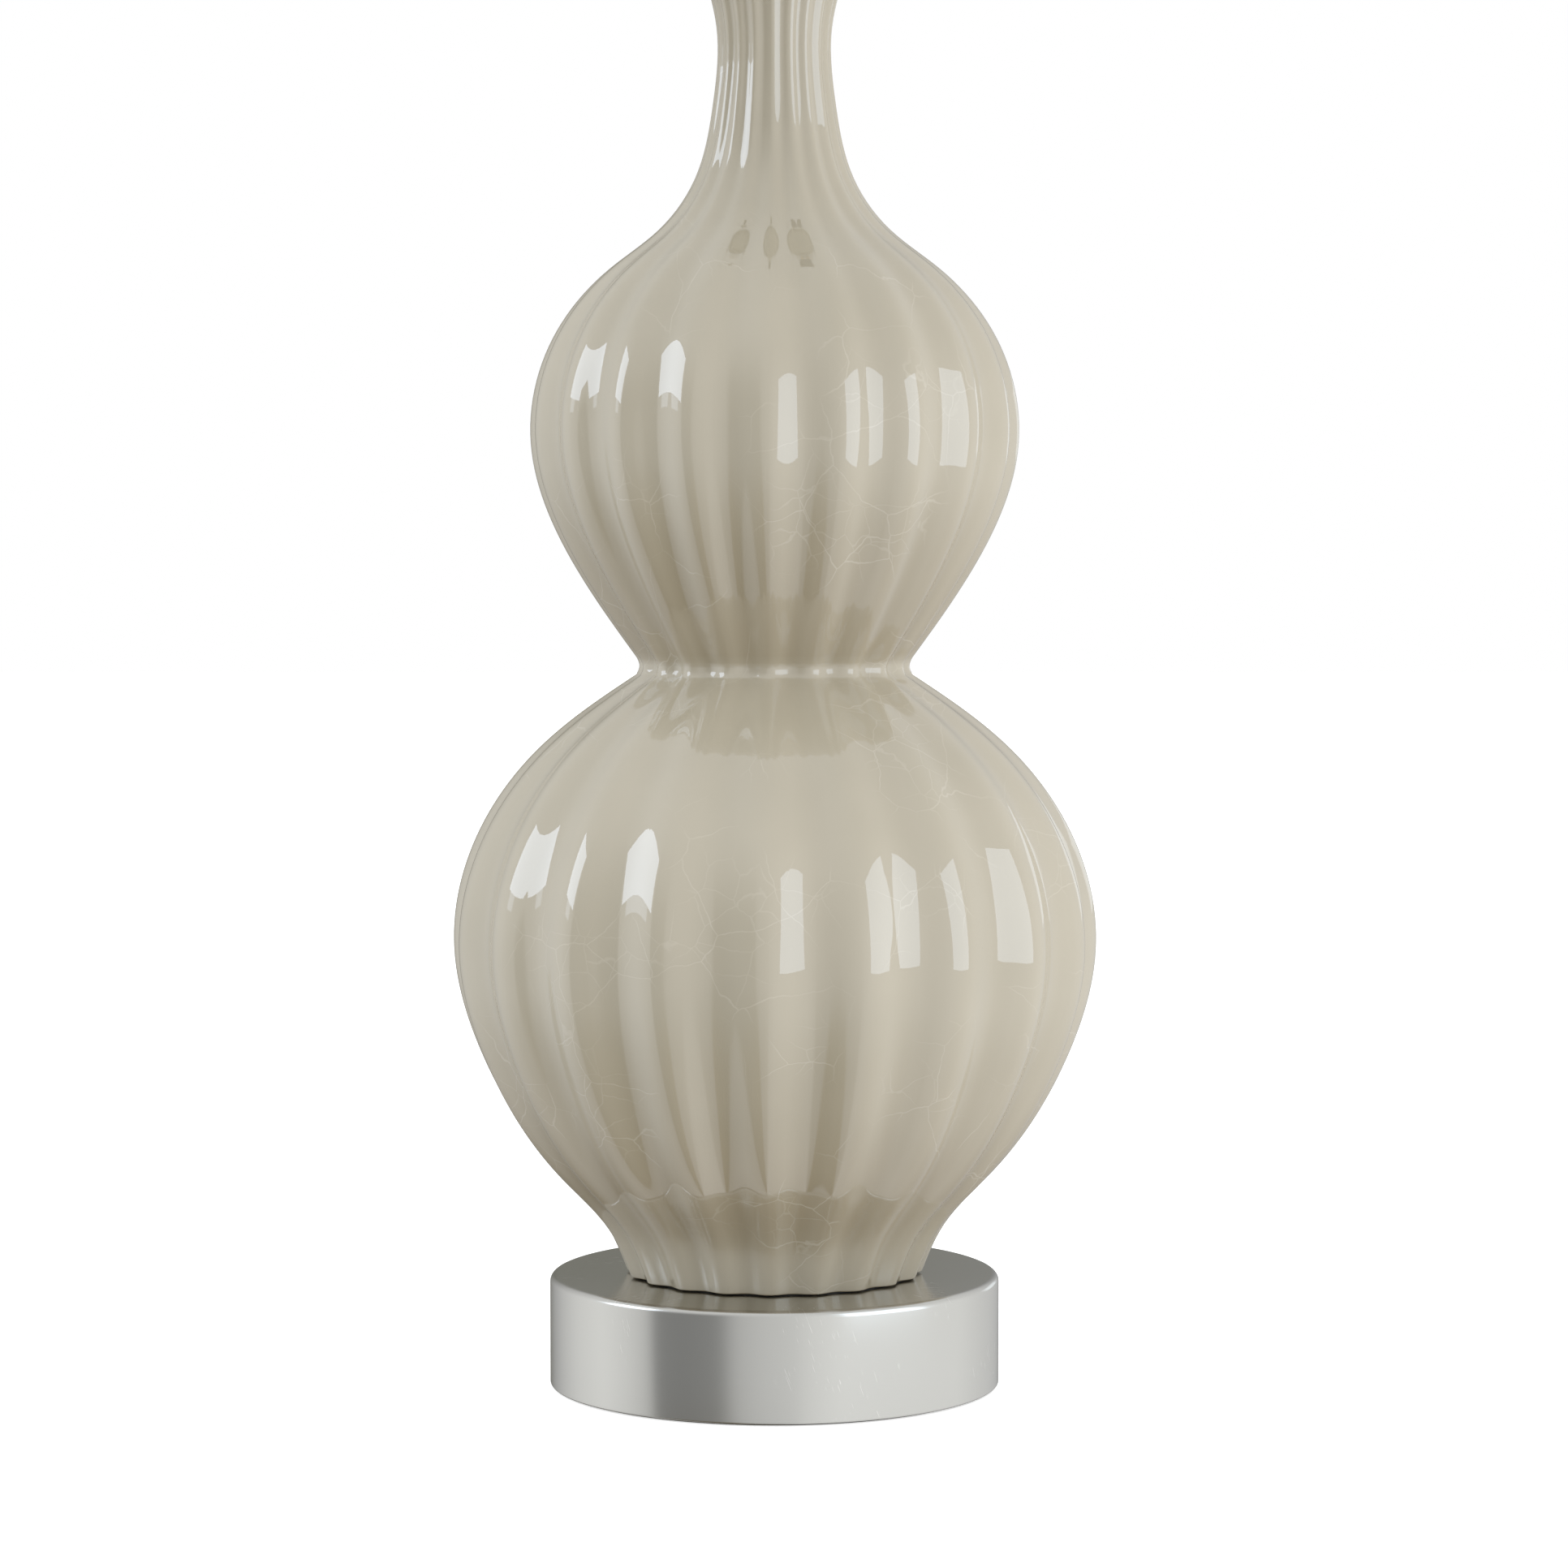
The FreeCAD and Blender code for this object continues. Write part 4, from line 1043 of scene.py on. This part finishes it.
@dataclass
class Neck:
    """The cap over the lip and the spindle above it."""

    shop: Workshop
    cap_radius: float = 26.0
    cap_under: float = 478.0
    cap_top: float = 482.0
    spindle_radius: float = 7.5
    spindle_waist: float = 6.3
    spindle_top: float = 503.0
    bore: float = 5.2

    def build(self) -> None:
        """Build the cap and the spindle."""
        self.shop.turned("lip_cap", rounded([
            (self.bore, self.cap_under), (self.cap_radius, self.cap_under, 0.8),
            (self.cap_radius, self.cap_under + 2.2, 1.0), (14.0, self.cap_top - 0.6, 4.0),
            (9.0, self.cap_top, 1.0), (self.bore, self.cap_top)]),
            NICKEL, nodes=["neck_cap"], around=144)
        low, high, wide, slim = (self.cap_top, self.spindle_top, self.spindle_radius,
                                 self.spindle_waist)
        self.shop.turned("turned_spindle", rounded([
            (self.bore, low), (wide, low, 0.6), (wide, low + 3.0, 0.8), (slim, low + 4.2, 0.8),
            (slim, high - 6.2, 0.8), (wide, high - 5.0, 0.8), (wide, high, 0.6),
            (self.bore, high)]), NICKEL, nodes=["neck_spindle"], around=72)


@dataclass
class Harp:
    """The saddle, the detachable wire harp, its sleeves and the crown with the stud."""

    shop: Workshop
    saddle_under: float = 503.0
    saddle_thick: float = 1.8
    saddle_wide: float = 11.0
    saddle_tall: float = 20.0
    saddle_bend: float = 2.5
    saddle_edge: float = 0.25
    leg: float = 27.0
    sleeve_under: float = 523.35
    wire_under: float = 529.3
    wire_radius: float = 1.5
    leg_up: float = 30.0
    wide: float = 59.0
    wide_up: float = 112.0
    top_up: float = 224.0
    bend: float = 26.0
    top_half: float = 6.0

    def arc(self, centre: Spot, radius: float, first: float, last: float) -> list[Spot]:
        """Points along an arc.

        Args:
            centre: The arc's centre, across and up.
            radius: Its radius.
            first: The angle that it starts from, in degrees, left out of the points.
            last: The angle that it ends at.

        Returns:
            Its points, across and up.
        """
        steps = max(2, math.ceil(abs(last - first) / 4))
        turns = [math.radians(first + (last - first) * k / steps) for k in range(1, steps + 1)]
        return [(centre[0] + radius * math.cos(a), centre[1] + radius * math.sin(a))
                for a in turns]

    def wire_path(self) -> list[Vector]:
        """The wire's line, from the left leg's end over the top to the right one's.

        Returns:
            Its points, in metres.
        """
        swing = 2 * math.degrees(math.atan2(self.wide - self.leg, self.wide_up - self.leg_up))
        swing_radius = (self.wide_up - self.leg_up) / (2 * math.sin(math.radians(swing)))
        across = self.wide - self.top_half - self.bend
        rise = self.top_up - self.wide_up - self.bend
        lean = 2 * math.degrees(math.atan2(across, rise))
        lean_radius = self.bend + rise / math.sin(math.radians(lean))
        line = [(self.leg, 0.0), (self.leg, self.leg_up)]
        line += self.arc((self.leg + swing_radius, self.leg_up), swing_radius, 180, 180 - swing)
        line += self.arc((self.wide - swing_radius, self.wide_up), swing_radius, -swing, 0)
        line += self.arc((self.wide - lean_radius, self.wide_up), lean_radius, 0, lean)
        line += self.arc((self.top_half, self.top_up - self.bend), self.bend, lean, 90)
        both = [(-x, z) for x, z in line] + [(x, z) for x, z in reversed(line)]
        return [Vector((x, 0.0, z + self.wire_under)) * MM for x, z in both]

    def saddle(self) -> None:
        """The bent strip with a tongue on each arm."""
        leg, tall, low, half = (self.leg, self.saddle_tall, self.saddle_thick / 2,
                                self.saddle_wide / 2)
        tongue = [(-leg, tall + 6.0, 1.3), (-leg, tall + 0.8, 1.3), (-leg, tall, 3.2),
                  (-leg, tall - 2.0, half)]
        strap = rounded([(-leg, tall), (-leg, low, self.saddle_bend),
                         (leg, low, self.saddle_bend), (leg, tall)], closed=False)[1:-1]
        rows = (tongue + [(across, up, half) for across, up in strap]
                + [(-across, up, wide) for across, up, wide in reversed(tongue)])
        places = [(across * MM, side * wide * MM, (self.saddle_under + up) * MM)
                  for across, up, wide in rows for side in (-1, 0, 1)]
        faces = [(a, a + 3, a + 4, a + 1)
                 for k in range(len(rows) - 1) for a in (3 * k, 3 * k + 1)]
        mesh = bpy.data.meshes.new("harp_bracket")
        mesh.from_pydata(places, [], faces)
        mesh.materials.append(NICKEL.material())
        strip = into_scene("harp_bracket", mesh)
        wall = strip.modifiers.new("strip", "SOLIDIFY")
        wall.thickness, wall.offset = self.saddle_thick * MM, 0.0
        edge = strip.modifiers.new("edge", "BEVEL")
        edge.width, edge.segments = self.saddle_edge * MM, 2
        apply_modifiers(strip)
        self.shop.fit(strip, "lamp", NICKEL, ["harp_saddle"])

    def build(self) -> None:
        """Build the harp."""
        self.saddle()
        wire = self.shop.wire.piece("harp_bow", path_seed("harp_bow", self.wire_path()), NICKEL,
                                    {"Wire Radius": self.wire_radius * MM, "Sides": 16})
        self.shop.fit(wire, "lamp", NICKEL, ["harp_wire"])
        for side, sign in (("left", -1), ("right", 1)):
            self.shop.turned("harp_sleeve_" + side, rounded([
                (1.85, 0.0, 0.2), (2.75, 0.0, 0.3), (2.75, 2.0, 0.3), (2.55, 2.4, 0.2),
                (2.55, 11.6, 0.2), (2.75, 12.0, 0.3), (2.75, 14.0, 0.3), (1.85, 14.0, 0.2)]),
                NICKEL, body="ferrule_" + side, nodes=["harp_ferrule_" + side], around=40,
                at=(sign * self.leg, 0.0, self.sleeve_under))
        low = self.wire_under + self.top_up - 2.6
        self.shop.turned("harp_top_block", rounded([
            (0.0, low), (5.6, low, 0.8), (6.0, low + 1.0, 0.3), (6.0, low + 5.6, 0.3),
            (5.2, low + 6.2, 0.3), (3.2, low + 6.2), (3.2, low + 17.2, 0.5), (0.0, low + 17.2)],
            closed=False), NICKEL, nodes=["harp_crown"], around=64,
            patterned=(low + 7.0, low + 16.0, 3.0), thread_pitch=0.94 * MM,
            thread_depth=0.12 * MM)


@dataclass
class Socket:
    """The turn-knob lamp socket, without its knob."""

    shop: Workshop
    hub_under: float = 504.8
    shell_under: float = 520.8
    shell_top: float = 564.8
    shell_radius: float = 16.6
    block_tall: float = 20.0
    stem_up: float = 10.0
    stem_hole: float = 2.8
    screw_radius: float = 13.3
    screw_thick: float = 0.35
    screw_tall: float = 23.0
    row_spacing: float = 0.4

    def screw_wall(self, low: float) -> list[Spot]:
        """The screw shell's profile, with rows close enough to carry a thread.

        Args:
            low: The shell's lower end.

        Returns:
            The closed profile.
        """
        rows = round(self.screw_tall / self.row_spacing)
        heights = [low + self.screw_tall * k / rows for k in range(rows + 1)]
        up = [(self.screw_radius + self.screw_thick, z) for z in heights]
        return up + [(self.screw_radius, z) for z in reversed(heights)] + [up[0]]

    def build(self) -> None:
        """Build the socket."""
        low, high, rim, wide = (self.hub_under, self.shell_under, self.shell_top, self.shell_radius)
        top = high + self.block_tall
        self.shop.turned("socket_cup", rounded([
            (5.2, low), (7.5, low, 0.6), (7.5, low + 7.0, 0.8), (12.5, low + 8.6, 3.0),
            (16.8, low + 12.0, 3.5), (17.35, high, 0.2), (16.65, high, 0.2),
            (15.9, low + 12.6, 3.0), (12.0, low + 9.6, 3.0), (6.5, low + 8.2, 0.6),
            (5.2, low + 8.2)]), NICKEL, nodes=["socket_cap"])
        shell = self.shop.turned("socket_can", rounded([
            (16.0, high), (wide, high, 0.2), (wide, high + 20.0), (wide, high + 24.0, 0.4),
            (16.2, high + 25.0, 0.4), (wide, high + 26.0, 0.4), (wide, rim, 0.3),
            (16.0, rim, 0.2), (16.0, high + 20.0)]), NICKEL, nodes=["socket_shell"])
        liner = self.shop.turned("socket_liner", rounded([
            (15.0, high), (15.65, high), (15.65, rim), (15.0, rim)]), PAPER,
            nodes=["shell_liner"], around=72)
        for piece in (shell, liner):
            self.shop.drill(piece, radius=self.stem_hole, near=10.0, far=20.0,
                            height=high + self.stem_up, facing=Facing.FRONT)
        self.shop.turned("switch_housing", rounded([
            (0.0, high), (14.5, high, 0.5), (14.5, top, 0.6), (4.4, top), (4.4, top - 2.4),
            (0.0, top - 2.4)], closed=False), PHENOLIC, nodes=["switch_block"], around=72)
        self.shop.turned("centre_tongue", rounded([
            (0.0, top - 2.4), (4.0, top - 2.4), (4.0, top - 0.6, 0.4), (2.0, top, 0.8),
            (0.0, top)], closed=False), BRASS, nodes=["centre_contact"], around=48)
        self.shop.turned("bulb_screw_shell", self.screw_wall(top), BRASS,
                         nodes=["screw_shell"], around=72, patterned=(top + 2.0, top + 21.0, 0.0),
                         thread_pitch=3.63 * MM, thread_depth=0.28 * MM)
        dress_solid("socket_set_screw", ZINC)


@dataclass
class Switch:
    """The turn knob on its stem."""

    shop: Workshop
    height: float = 530.8
    stem_long: float = 24.3
    ribs: int = 16
    rib_deep: float = 0.12

    def build(self) -> None:
        """Build the stem and the ribbed knob."""
        self.shop.turned("knob_stem", rounded([
            (0.0, 0.0), (1.6, 0.0, 0.2), (1.6, self.stem_long, 0.3), (0.0, self.stem_long)],
            closed=False), BRASS, body="switch", nodes=["switch_stem"], around=32,
            facing=Facing.FRONT, at=(0.0, -7.3, self.height))
        side = [(5.1 + 1.2 * math.sin(math.pi * (0.08 + 0.62 * k / 14)), 1.0 + 14.5 * k / 14)
                for k in range(15)]
        self.shop.turned("ribbed_knob", rounded(
            [(1.66, 0.0), (4.9, 0.0, 0.5), *side, (5.2, 16.7, 0.8), (3.0, 17.0, 1.0),
             (0.0, 16.6), (0.0, 11.0), (1.66, 11.0)]), KNOB, body="switch",
            nodes=["switch_knob"], around=160, patterned=(1.2, 15.2, 4.0), facing=Facing.FRONT,
            at=(0.0, -20.6, self.height), flutes=self.ribs, flute_depth=self.rib_deep)


@dataclass
class Shade:
    """The hardback drum shade with its rings and spider."""

    shop: Workshop
    radius: float = 190.5
    under: float = 518.2
    top: float = 772.2
    thick: float = 1.6
    lining: float = 0.45
    hem: float = 11.0
    lap: float = 0.35
    ring_radius: float = 186.8
    ring_in: float = 4.5
    ring_wire: float = 1.5
    ring_steps: int = 240
    arm_wire: float = 1.35
    hub_under: float = 757.2
    drop: float = 12.0

    def wall(self) -> None:
        """The cloth outside, its folded hems and the smooth lining."""
        out, inn, low, high, hem = (self.radius, self.radius - self.thick, self.under, self.top,
                                    self.hem)
        self.shop.turned("shade_cloth", rounded([
            (inn + 0.5, low, 0.2), (out, low, 0.5), (out, low + hem, 0.2),
            (out - self.lap, low + hem + 0.3, 0.2), (out - self.lap, high - hem - 0.3, 0.2),
            (out, high - hem, 0.2), (out, high, 0.5), (inn + 0.5, high, 0.2)]), LINEN,
            body="shade", nodes=["shade_wall"], around=288, unrolled=FULL_TURN * out * MM)
        self.shop.turned("shade_lining", rounded([
            (inn, low + 0.3, 0.2), (inn + self.lining, low + 0.3),
            (inn + self.lining, high - 0.3), (inn, high - 0.3, 0.2)]), LINING, body="shade",
            around=288)

    def rings(self) -> None:
        """The two wire rings."""
        for name, node, height in (
                ("upper_hoop", "shade_top_ring", self.top - self.ring_in),
                ("lower_hoop", "shade_bottom_ring", self.under + self.ring_in)):
            loop = [Vector((math.cos(a), math.sin(a), 0.0)) * self.ring_radius * MM
                    + Vector((0, 0, height * MM))
                    for a in (FULL_TURN * k / self.ring_steps
                              for k in range(self.ring_steps))]
            hoop = self.shop.wire.piece(name, path_seed(name, loop, cyclic=True), ENAMEL,
                                        {"Wire Radius": self.ring_wire * MM, "Sides": 12})
            self.shop.fit(hoop, "shade", ENAMEL, [node])

    def spider(self) -> None:
        """The hub washer and the three arms up to the upper ring."""
        low = self.hub_under
        self.shop.turned("spider_hub", rounded([
            (3.5, low, 0.2), (11.0, low, 0.4), (11.0, low + 1.8, 0.6), (3.5, low + 1.8, 0.3)]),
            ENAMEL, body="shade", nodes=["shade_spider"], around=72)
        rise = self.drop - 1.8
        line = rounded([(8.0, 1.3), (22.0, 1.3, 14.0), (158.0, rise, 22.0), (185.6, rise)],
                       closed=False)
        path = [Vector((across, 0.0, up + low)) * MM for across, up in line]
        arms = self.shop.spokes.piece("spider_arms", path_seed("spider_arms", path), ENAMEL,
                                      {"Arms": 3, "Wire Radius": self.arm_wire * MM, "Sides": 14})
        self.shop.fit(arms, "shade", ENAMEL)

    def build(self) -> None:
        """Build the shade.

        The glaze and the nickel do not mirror it: the room that they mirror is the one of a
        lamp that stands without its shade.
        """
        before = set(bpy.data.objects)
        self.wall()
        self.rings()
        self.spider()
        for piece in set(bpy.data.objects) - before:
            piece.visible_glossy = False


@dataclass
class Finial:
    """The turned finial that holds the shade on the harp."""

    shop: Workshop
    under: float = 759.3
    ball_radius: float = 9.4
    ball_half: float = 8.8

    def build(self) -> None:
        """Build the finial."""
        low = self.under
        ball = [(self.ball_radius * math.sin(a), low + 15.2 - self.ball_half * math.cos(a))
                for a in (math.radians(d) for d in range(32, 180, 8))]
        self.shop.turned("finial_ball", rounded(
            [(3.25, low, 0.2), (6.0, low, 0.5), (6.0, low + 2.6, 0.6), (4.6, low + 3.6, 0.8),
             (4.2, low + 6.4, 1.0), *ball, (0.0, low + 24.0), (0.0, low + 11.1),
             (3.25, low + 11.1)]), NICKEL, body="finial", nodes=["finial"])


# --- Studio ----------------------------------------------------------------------------------
@dataclass(frozen=True)
class Softbox:
    """A soft light that stands upright and faces the lamp's axis.

    One that is only mirrored stands for a pale screen: the room's bands hold its fill.
    """

    name: str
    bearing: float
    distance: float
    low: float
    high: float
    half_angle: float
    radiance: float
    tint: str
    only_mirrored: bool = False

    def build(self) -> None:
        """Hang the light."""
        light = bpy.data.lights.new(self.name, "AREA")
        light.shape = "RECTANGLE"
        light.size = 2 * self.distance * math.tan(math.radians(self.half_angle))
        light.size_y = self.high - self.low
        light.energy = self.radiance * math.pi * light.size * light.size_y
        light.color = linear(self.tint)[:3]
        holder = into_scene(self.name, light)
        turn = math.radians(self.bearing)
        away = Vector((math.sin(turn), -math.cos(turn), 0.0))
        holder.location = away * self.distance + Vector((0, 0, (self.low + self.high) / 2))
        holder.rotation_euler = (-away).to_track_quat("-Z", "Y").to_euler()
        holder.visible_camera = False
        holder.visible_diffuse = not self.only_mirrored


@dataclass(frozen=True)
class Room:
    """The light that the room gives back, in bands, by bearing from the front.

    Positive bearings are to the right. The walls are pale to the right and the left, with a
    dark doorway between the left wall and the front and a dark corner behind, and the floor
    follows them. Where the floor is dark it is brown wood.
    """

    ceiling: float = 0.97
    walls: tuple[Spot, ...] = (
        (-180, 0.24), (-168, 0.20), (-150, 0.54), (-135, 0.80), (-120, 1.02), (-98, 1.18),
        (-80, 1.04), (-66, 0.84), (-63, 0.34), (-45, 0.34), (-28, 0.38), (-19, 0.76),
        (-5, 0.88), (11, 0.97), (16, 1.08), (34, 1.22), (80, 1.18), (108, 1.15), (125, 1.00),
        (142, 0.84), (160, 0.60), (170, 0.34), (180, 0.24))
    floor: tuple[Spot, ...] = (
        (-180, 0.12), (-150, 0.12), (-120, 0.56), (-98, 0.69), (-70, 0.50), (-64, 0.15),
        (-22, 0.20), (-16, 0.57), (11, 0.71), (16, 1.00), (34, 1.10), (70, 1.02),
        (108, 0.94), (142, 0.50), (180, 0.08))
    dark_below: float = 0.30
    wood: Triple = (1.0, 0.82, 0.50)
    corner: Triple = (1.0, 0.99, 0.86)
    brightest: float = 2.0
    ceiling_from: float = 8.0
    ceiling_full: float = 58.0
    floor_from: float = -12.0
    floor_full: float = -48.0

    def band(self, tree: NodeTree, turn: Node, stops: tuple[Spot, ...], dark: Triple) -> Node:
        """One band's level round the room.

        Args:
            tree: The world's nodes.
            turn: The node of the bearing as a share of a full turn.
            stops: Bearings in degrees with the level at each.
            dark: The tint of the dark stops.

        Returns:
            The node of the level, as a share of the brightest.
        """
        ramp = add_node(tree, "ShaderNodeValToRGB", {0: turn})
        steps = ramp.color_ramp.elements
        while len(steps) < len(stops):
            steps.new(0.5)
        for step, (bearing, level) in zip(steps, stops):
            tint = dark if level < self.dark_below else (1.0, 1.0, 1.0)
            step.position = bearing / 360 + 0.5
            step.color = (*(level / self.brightest * part for part in tint), 1.0)
        return ramp

    def level(self, tree: NodeTree) -> NodeSocket:
        """The room's light from each direction.

        Args:
            tree: The world's nodes.

        Returns:
            The socket of its colour, as a share of the brightest.
        """
        way = add_node(tree, "ShaderNodeTexCoord").outputs["Generated"]
        part = add_node(tree, SPLIT, {0: way})
        front = add_node(tree, MATH, {0: part.outputs[1], 1: -1.0}, operation="MULTIPLY")
        bearing = add_node(tree, MATH, {0: part, 1: front}, operation="ARCTAN2")
        turn = add_node(tree, MATH, {0: bearing, 1: 0.5 / math.pi, 2: 0.5},
                        operation="MULTIPLY_ADD")
        overhead, underfoot = (
            add_node(tree, RANGE, {"Value": part.outputs[2], 1: math.sin(math.radians(first)),
                                   2: math.sin(math.radians(full))},
                     interpolation_type="SMOOTHSTEP")
            for first, full in ((self.ceiling_from, self.ceiling_full),
                                (self.floor_from, self.floor_full)))
        low = add_node(tree, MIX, {0: underfoot, 6: self.band(tree, turn, self.walls, self.corner),
                                   7: self.band(tree, turn, self.floor, self.wood)},
                       data_type="RGBA")
        top = self.ceiling / self.brightest
        return add_node(tree, MIX, {0: overhead, 6: low.outputs[2], 7: (top, top, top, 1.0)},
                        data_type="RGBA").outputs[2]


@dataclass
class Studio:
    """The table, the lights and the camera."""

    distance: float = 1.5596
    height: float = 0.3045
    tilt: float = 3.685
    aside: float = 0.00324
    lens: float = 106.2
    sensor: float = 36.0
    sees_to: float = 50.0
    table_half: float = 6.0
    table_glow: float = 0.62
    room: Room = Room()
    boxes: tuple[Softbox, ...] = (
        Softbox("right_softbox", 57.0, 0.98, 0.02, 0.80, 22.0, 1.60, "#DCECFF", True),
        Softbox("left_window", -82.5, 3.0, 1.0, 2.35, 15.5, 2.9, "#DEECFF"),
        Softbox("left_window_side", -84, 3.0, 0.70, 1.0, 7.0, 1.0, "#DEECFF", True),
        Softbox("back_window", 146, 3.0, 0.10, 0.75, 10.0, 0.6, "#EAF5FF", True),
    )

    def camera(self) -> None:
        """The camera at the photograph's place, with no shift."""
        data = bpy.data.cameras.new("photo_camera")
        data.lens, data.sensor_width, data.clip_end = self.lens, self.sensor, self.sees_to
        holder = into_scene("photo_camera", data)
        holder.location = (self.aside, -self.distance, self.height)
        holder.rotation_euler = (math.radians(90 - self.tilt), 0.0, 0.0)
        bpy.context.scene.camera = holder

    def table(self) -> None:
        """A wide white table top.

        It glows a little, as a light table does, and the light that it gives back to the lamp
        is the room's floor band.
        """
        half = self.table_half
        mesh = bpy.data.meshes.new("table_top")
        mesh.from_pydata([(-half, -half, 0), (half, -half, 0), (half, half, 0),
                          (-half, half, 0)], [], [(0, 1, 2, 3)])
        material = FLOOR.material()
        connect(material.node_tree, material.node_tree.nodes["Principled BSDF"],
                {"Emission Color": (1.0, 1.0, 1.0, 1.0), "Emission Strength": self.table_glow})
        mesh.materials.append(material)
        top = into_scene("table_top", mesh)
        top.visible_diffuse = top.visible_glossy = top.visible_shadow = False

    def surroundings(self) -> None:
        """A plain white backdrop to the eye, and the room's light to the lamp."""
        world = bpy.data.worlds.new("white_room")
        world.use_nodes = True
        bpy.context.scene.world = world
        tree = world.node_tree
        tree.nodes.clear()
        white = 1 / self.room.brightest
        level = add_node(tree, MIX, {
            0: add_node(tree, "ShaderNodeLightPath").outputs["Is Camera Ray"],
            6: self.room.level(tree), 7: (white, white, white, 1.0)}, data_type="RGBA")
        shown = add_node(tree, "ShaderNodeBackground",
                         {"Color": level.outputs[2], "Strength": self.room.brightest})
        add_node(tree, "ShaderNodeOutputWorld", {"Surface": shown})

    def build(self) -> None:
        """Build the studio."""
        bpy.context.scene.view_settings.view_transform = "Standard"
        self.camera()
        self.table()
        self.surroundings()
        for box in self.boxes:
            box.build()


def main() -> None:
    """Build the lamp's sub-assemblies and the studio, in order."""
    logging.basicConfig(level=logging.INFO, format="%(name)s: %(message)s")
    shop = Workshop()
    Studio().build()
    for assembly in (Base(shop), GourdBody(shop), Neck(shop), Harp(shop), Socket(shop),
                     Switch(shop), Shade(shop), Finial(shop)):
        assembly.build()
        LOG.info("%s done", type(assembly).__name__)


if __name__ == "__main__":
    main()
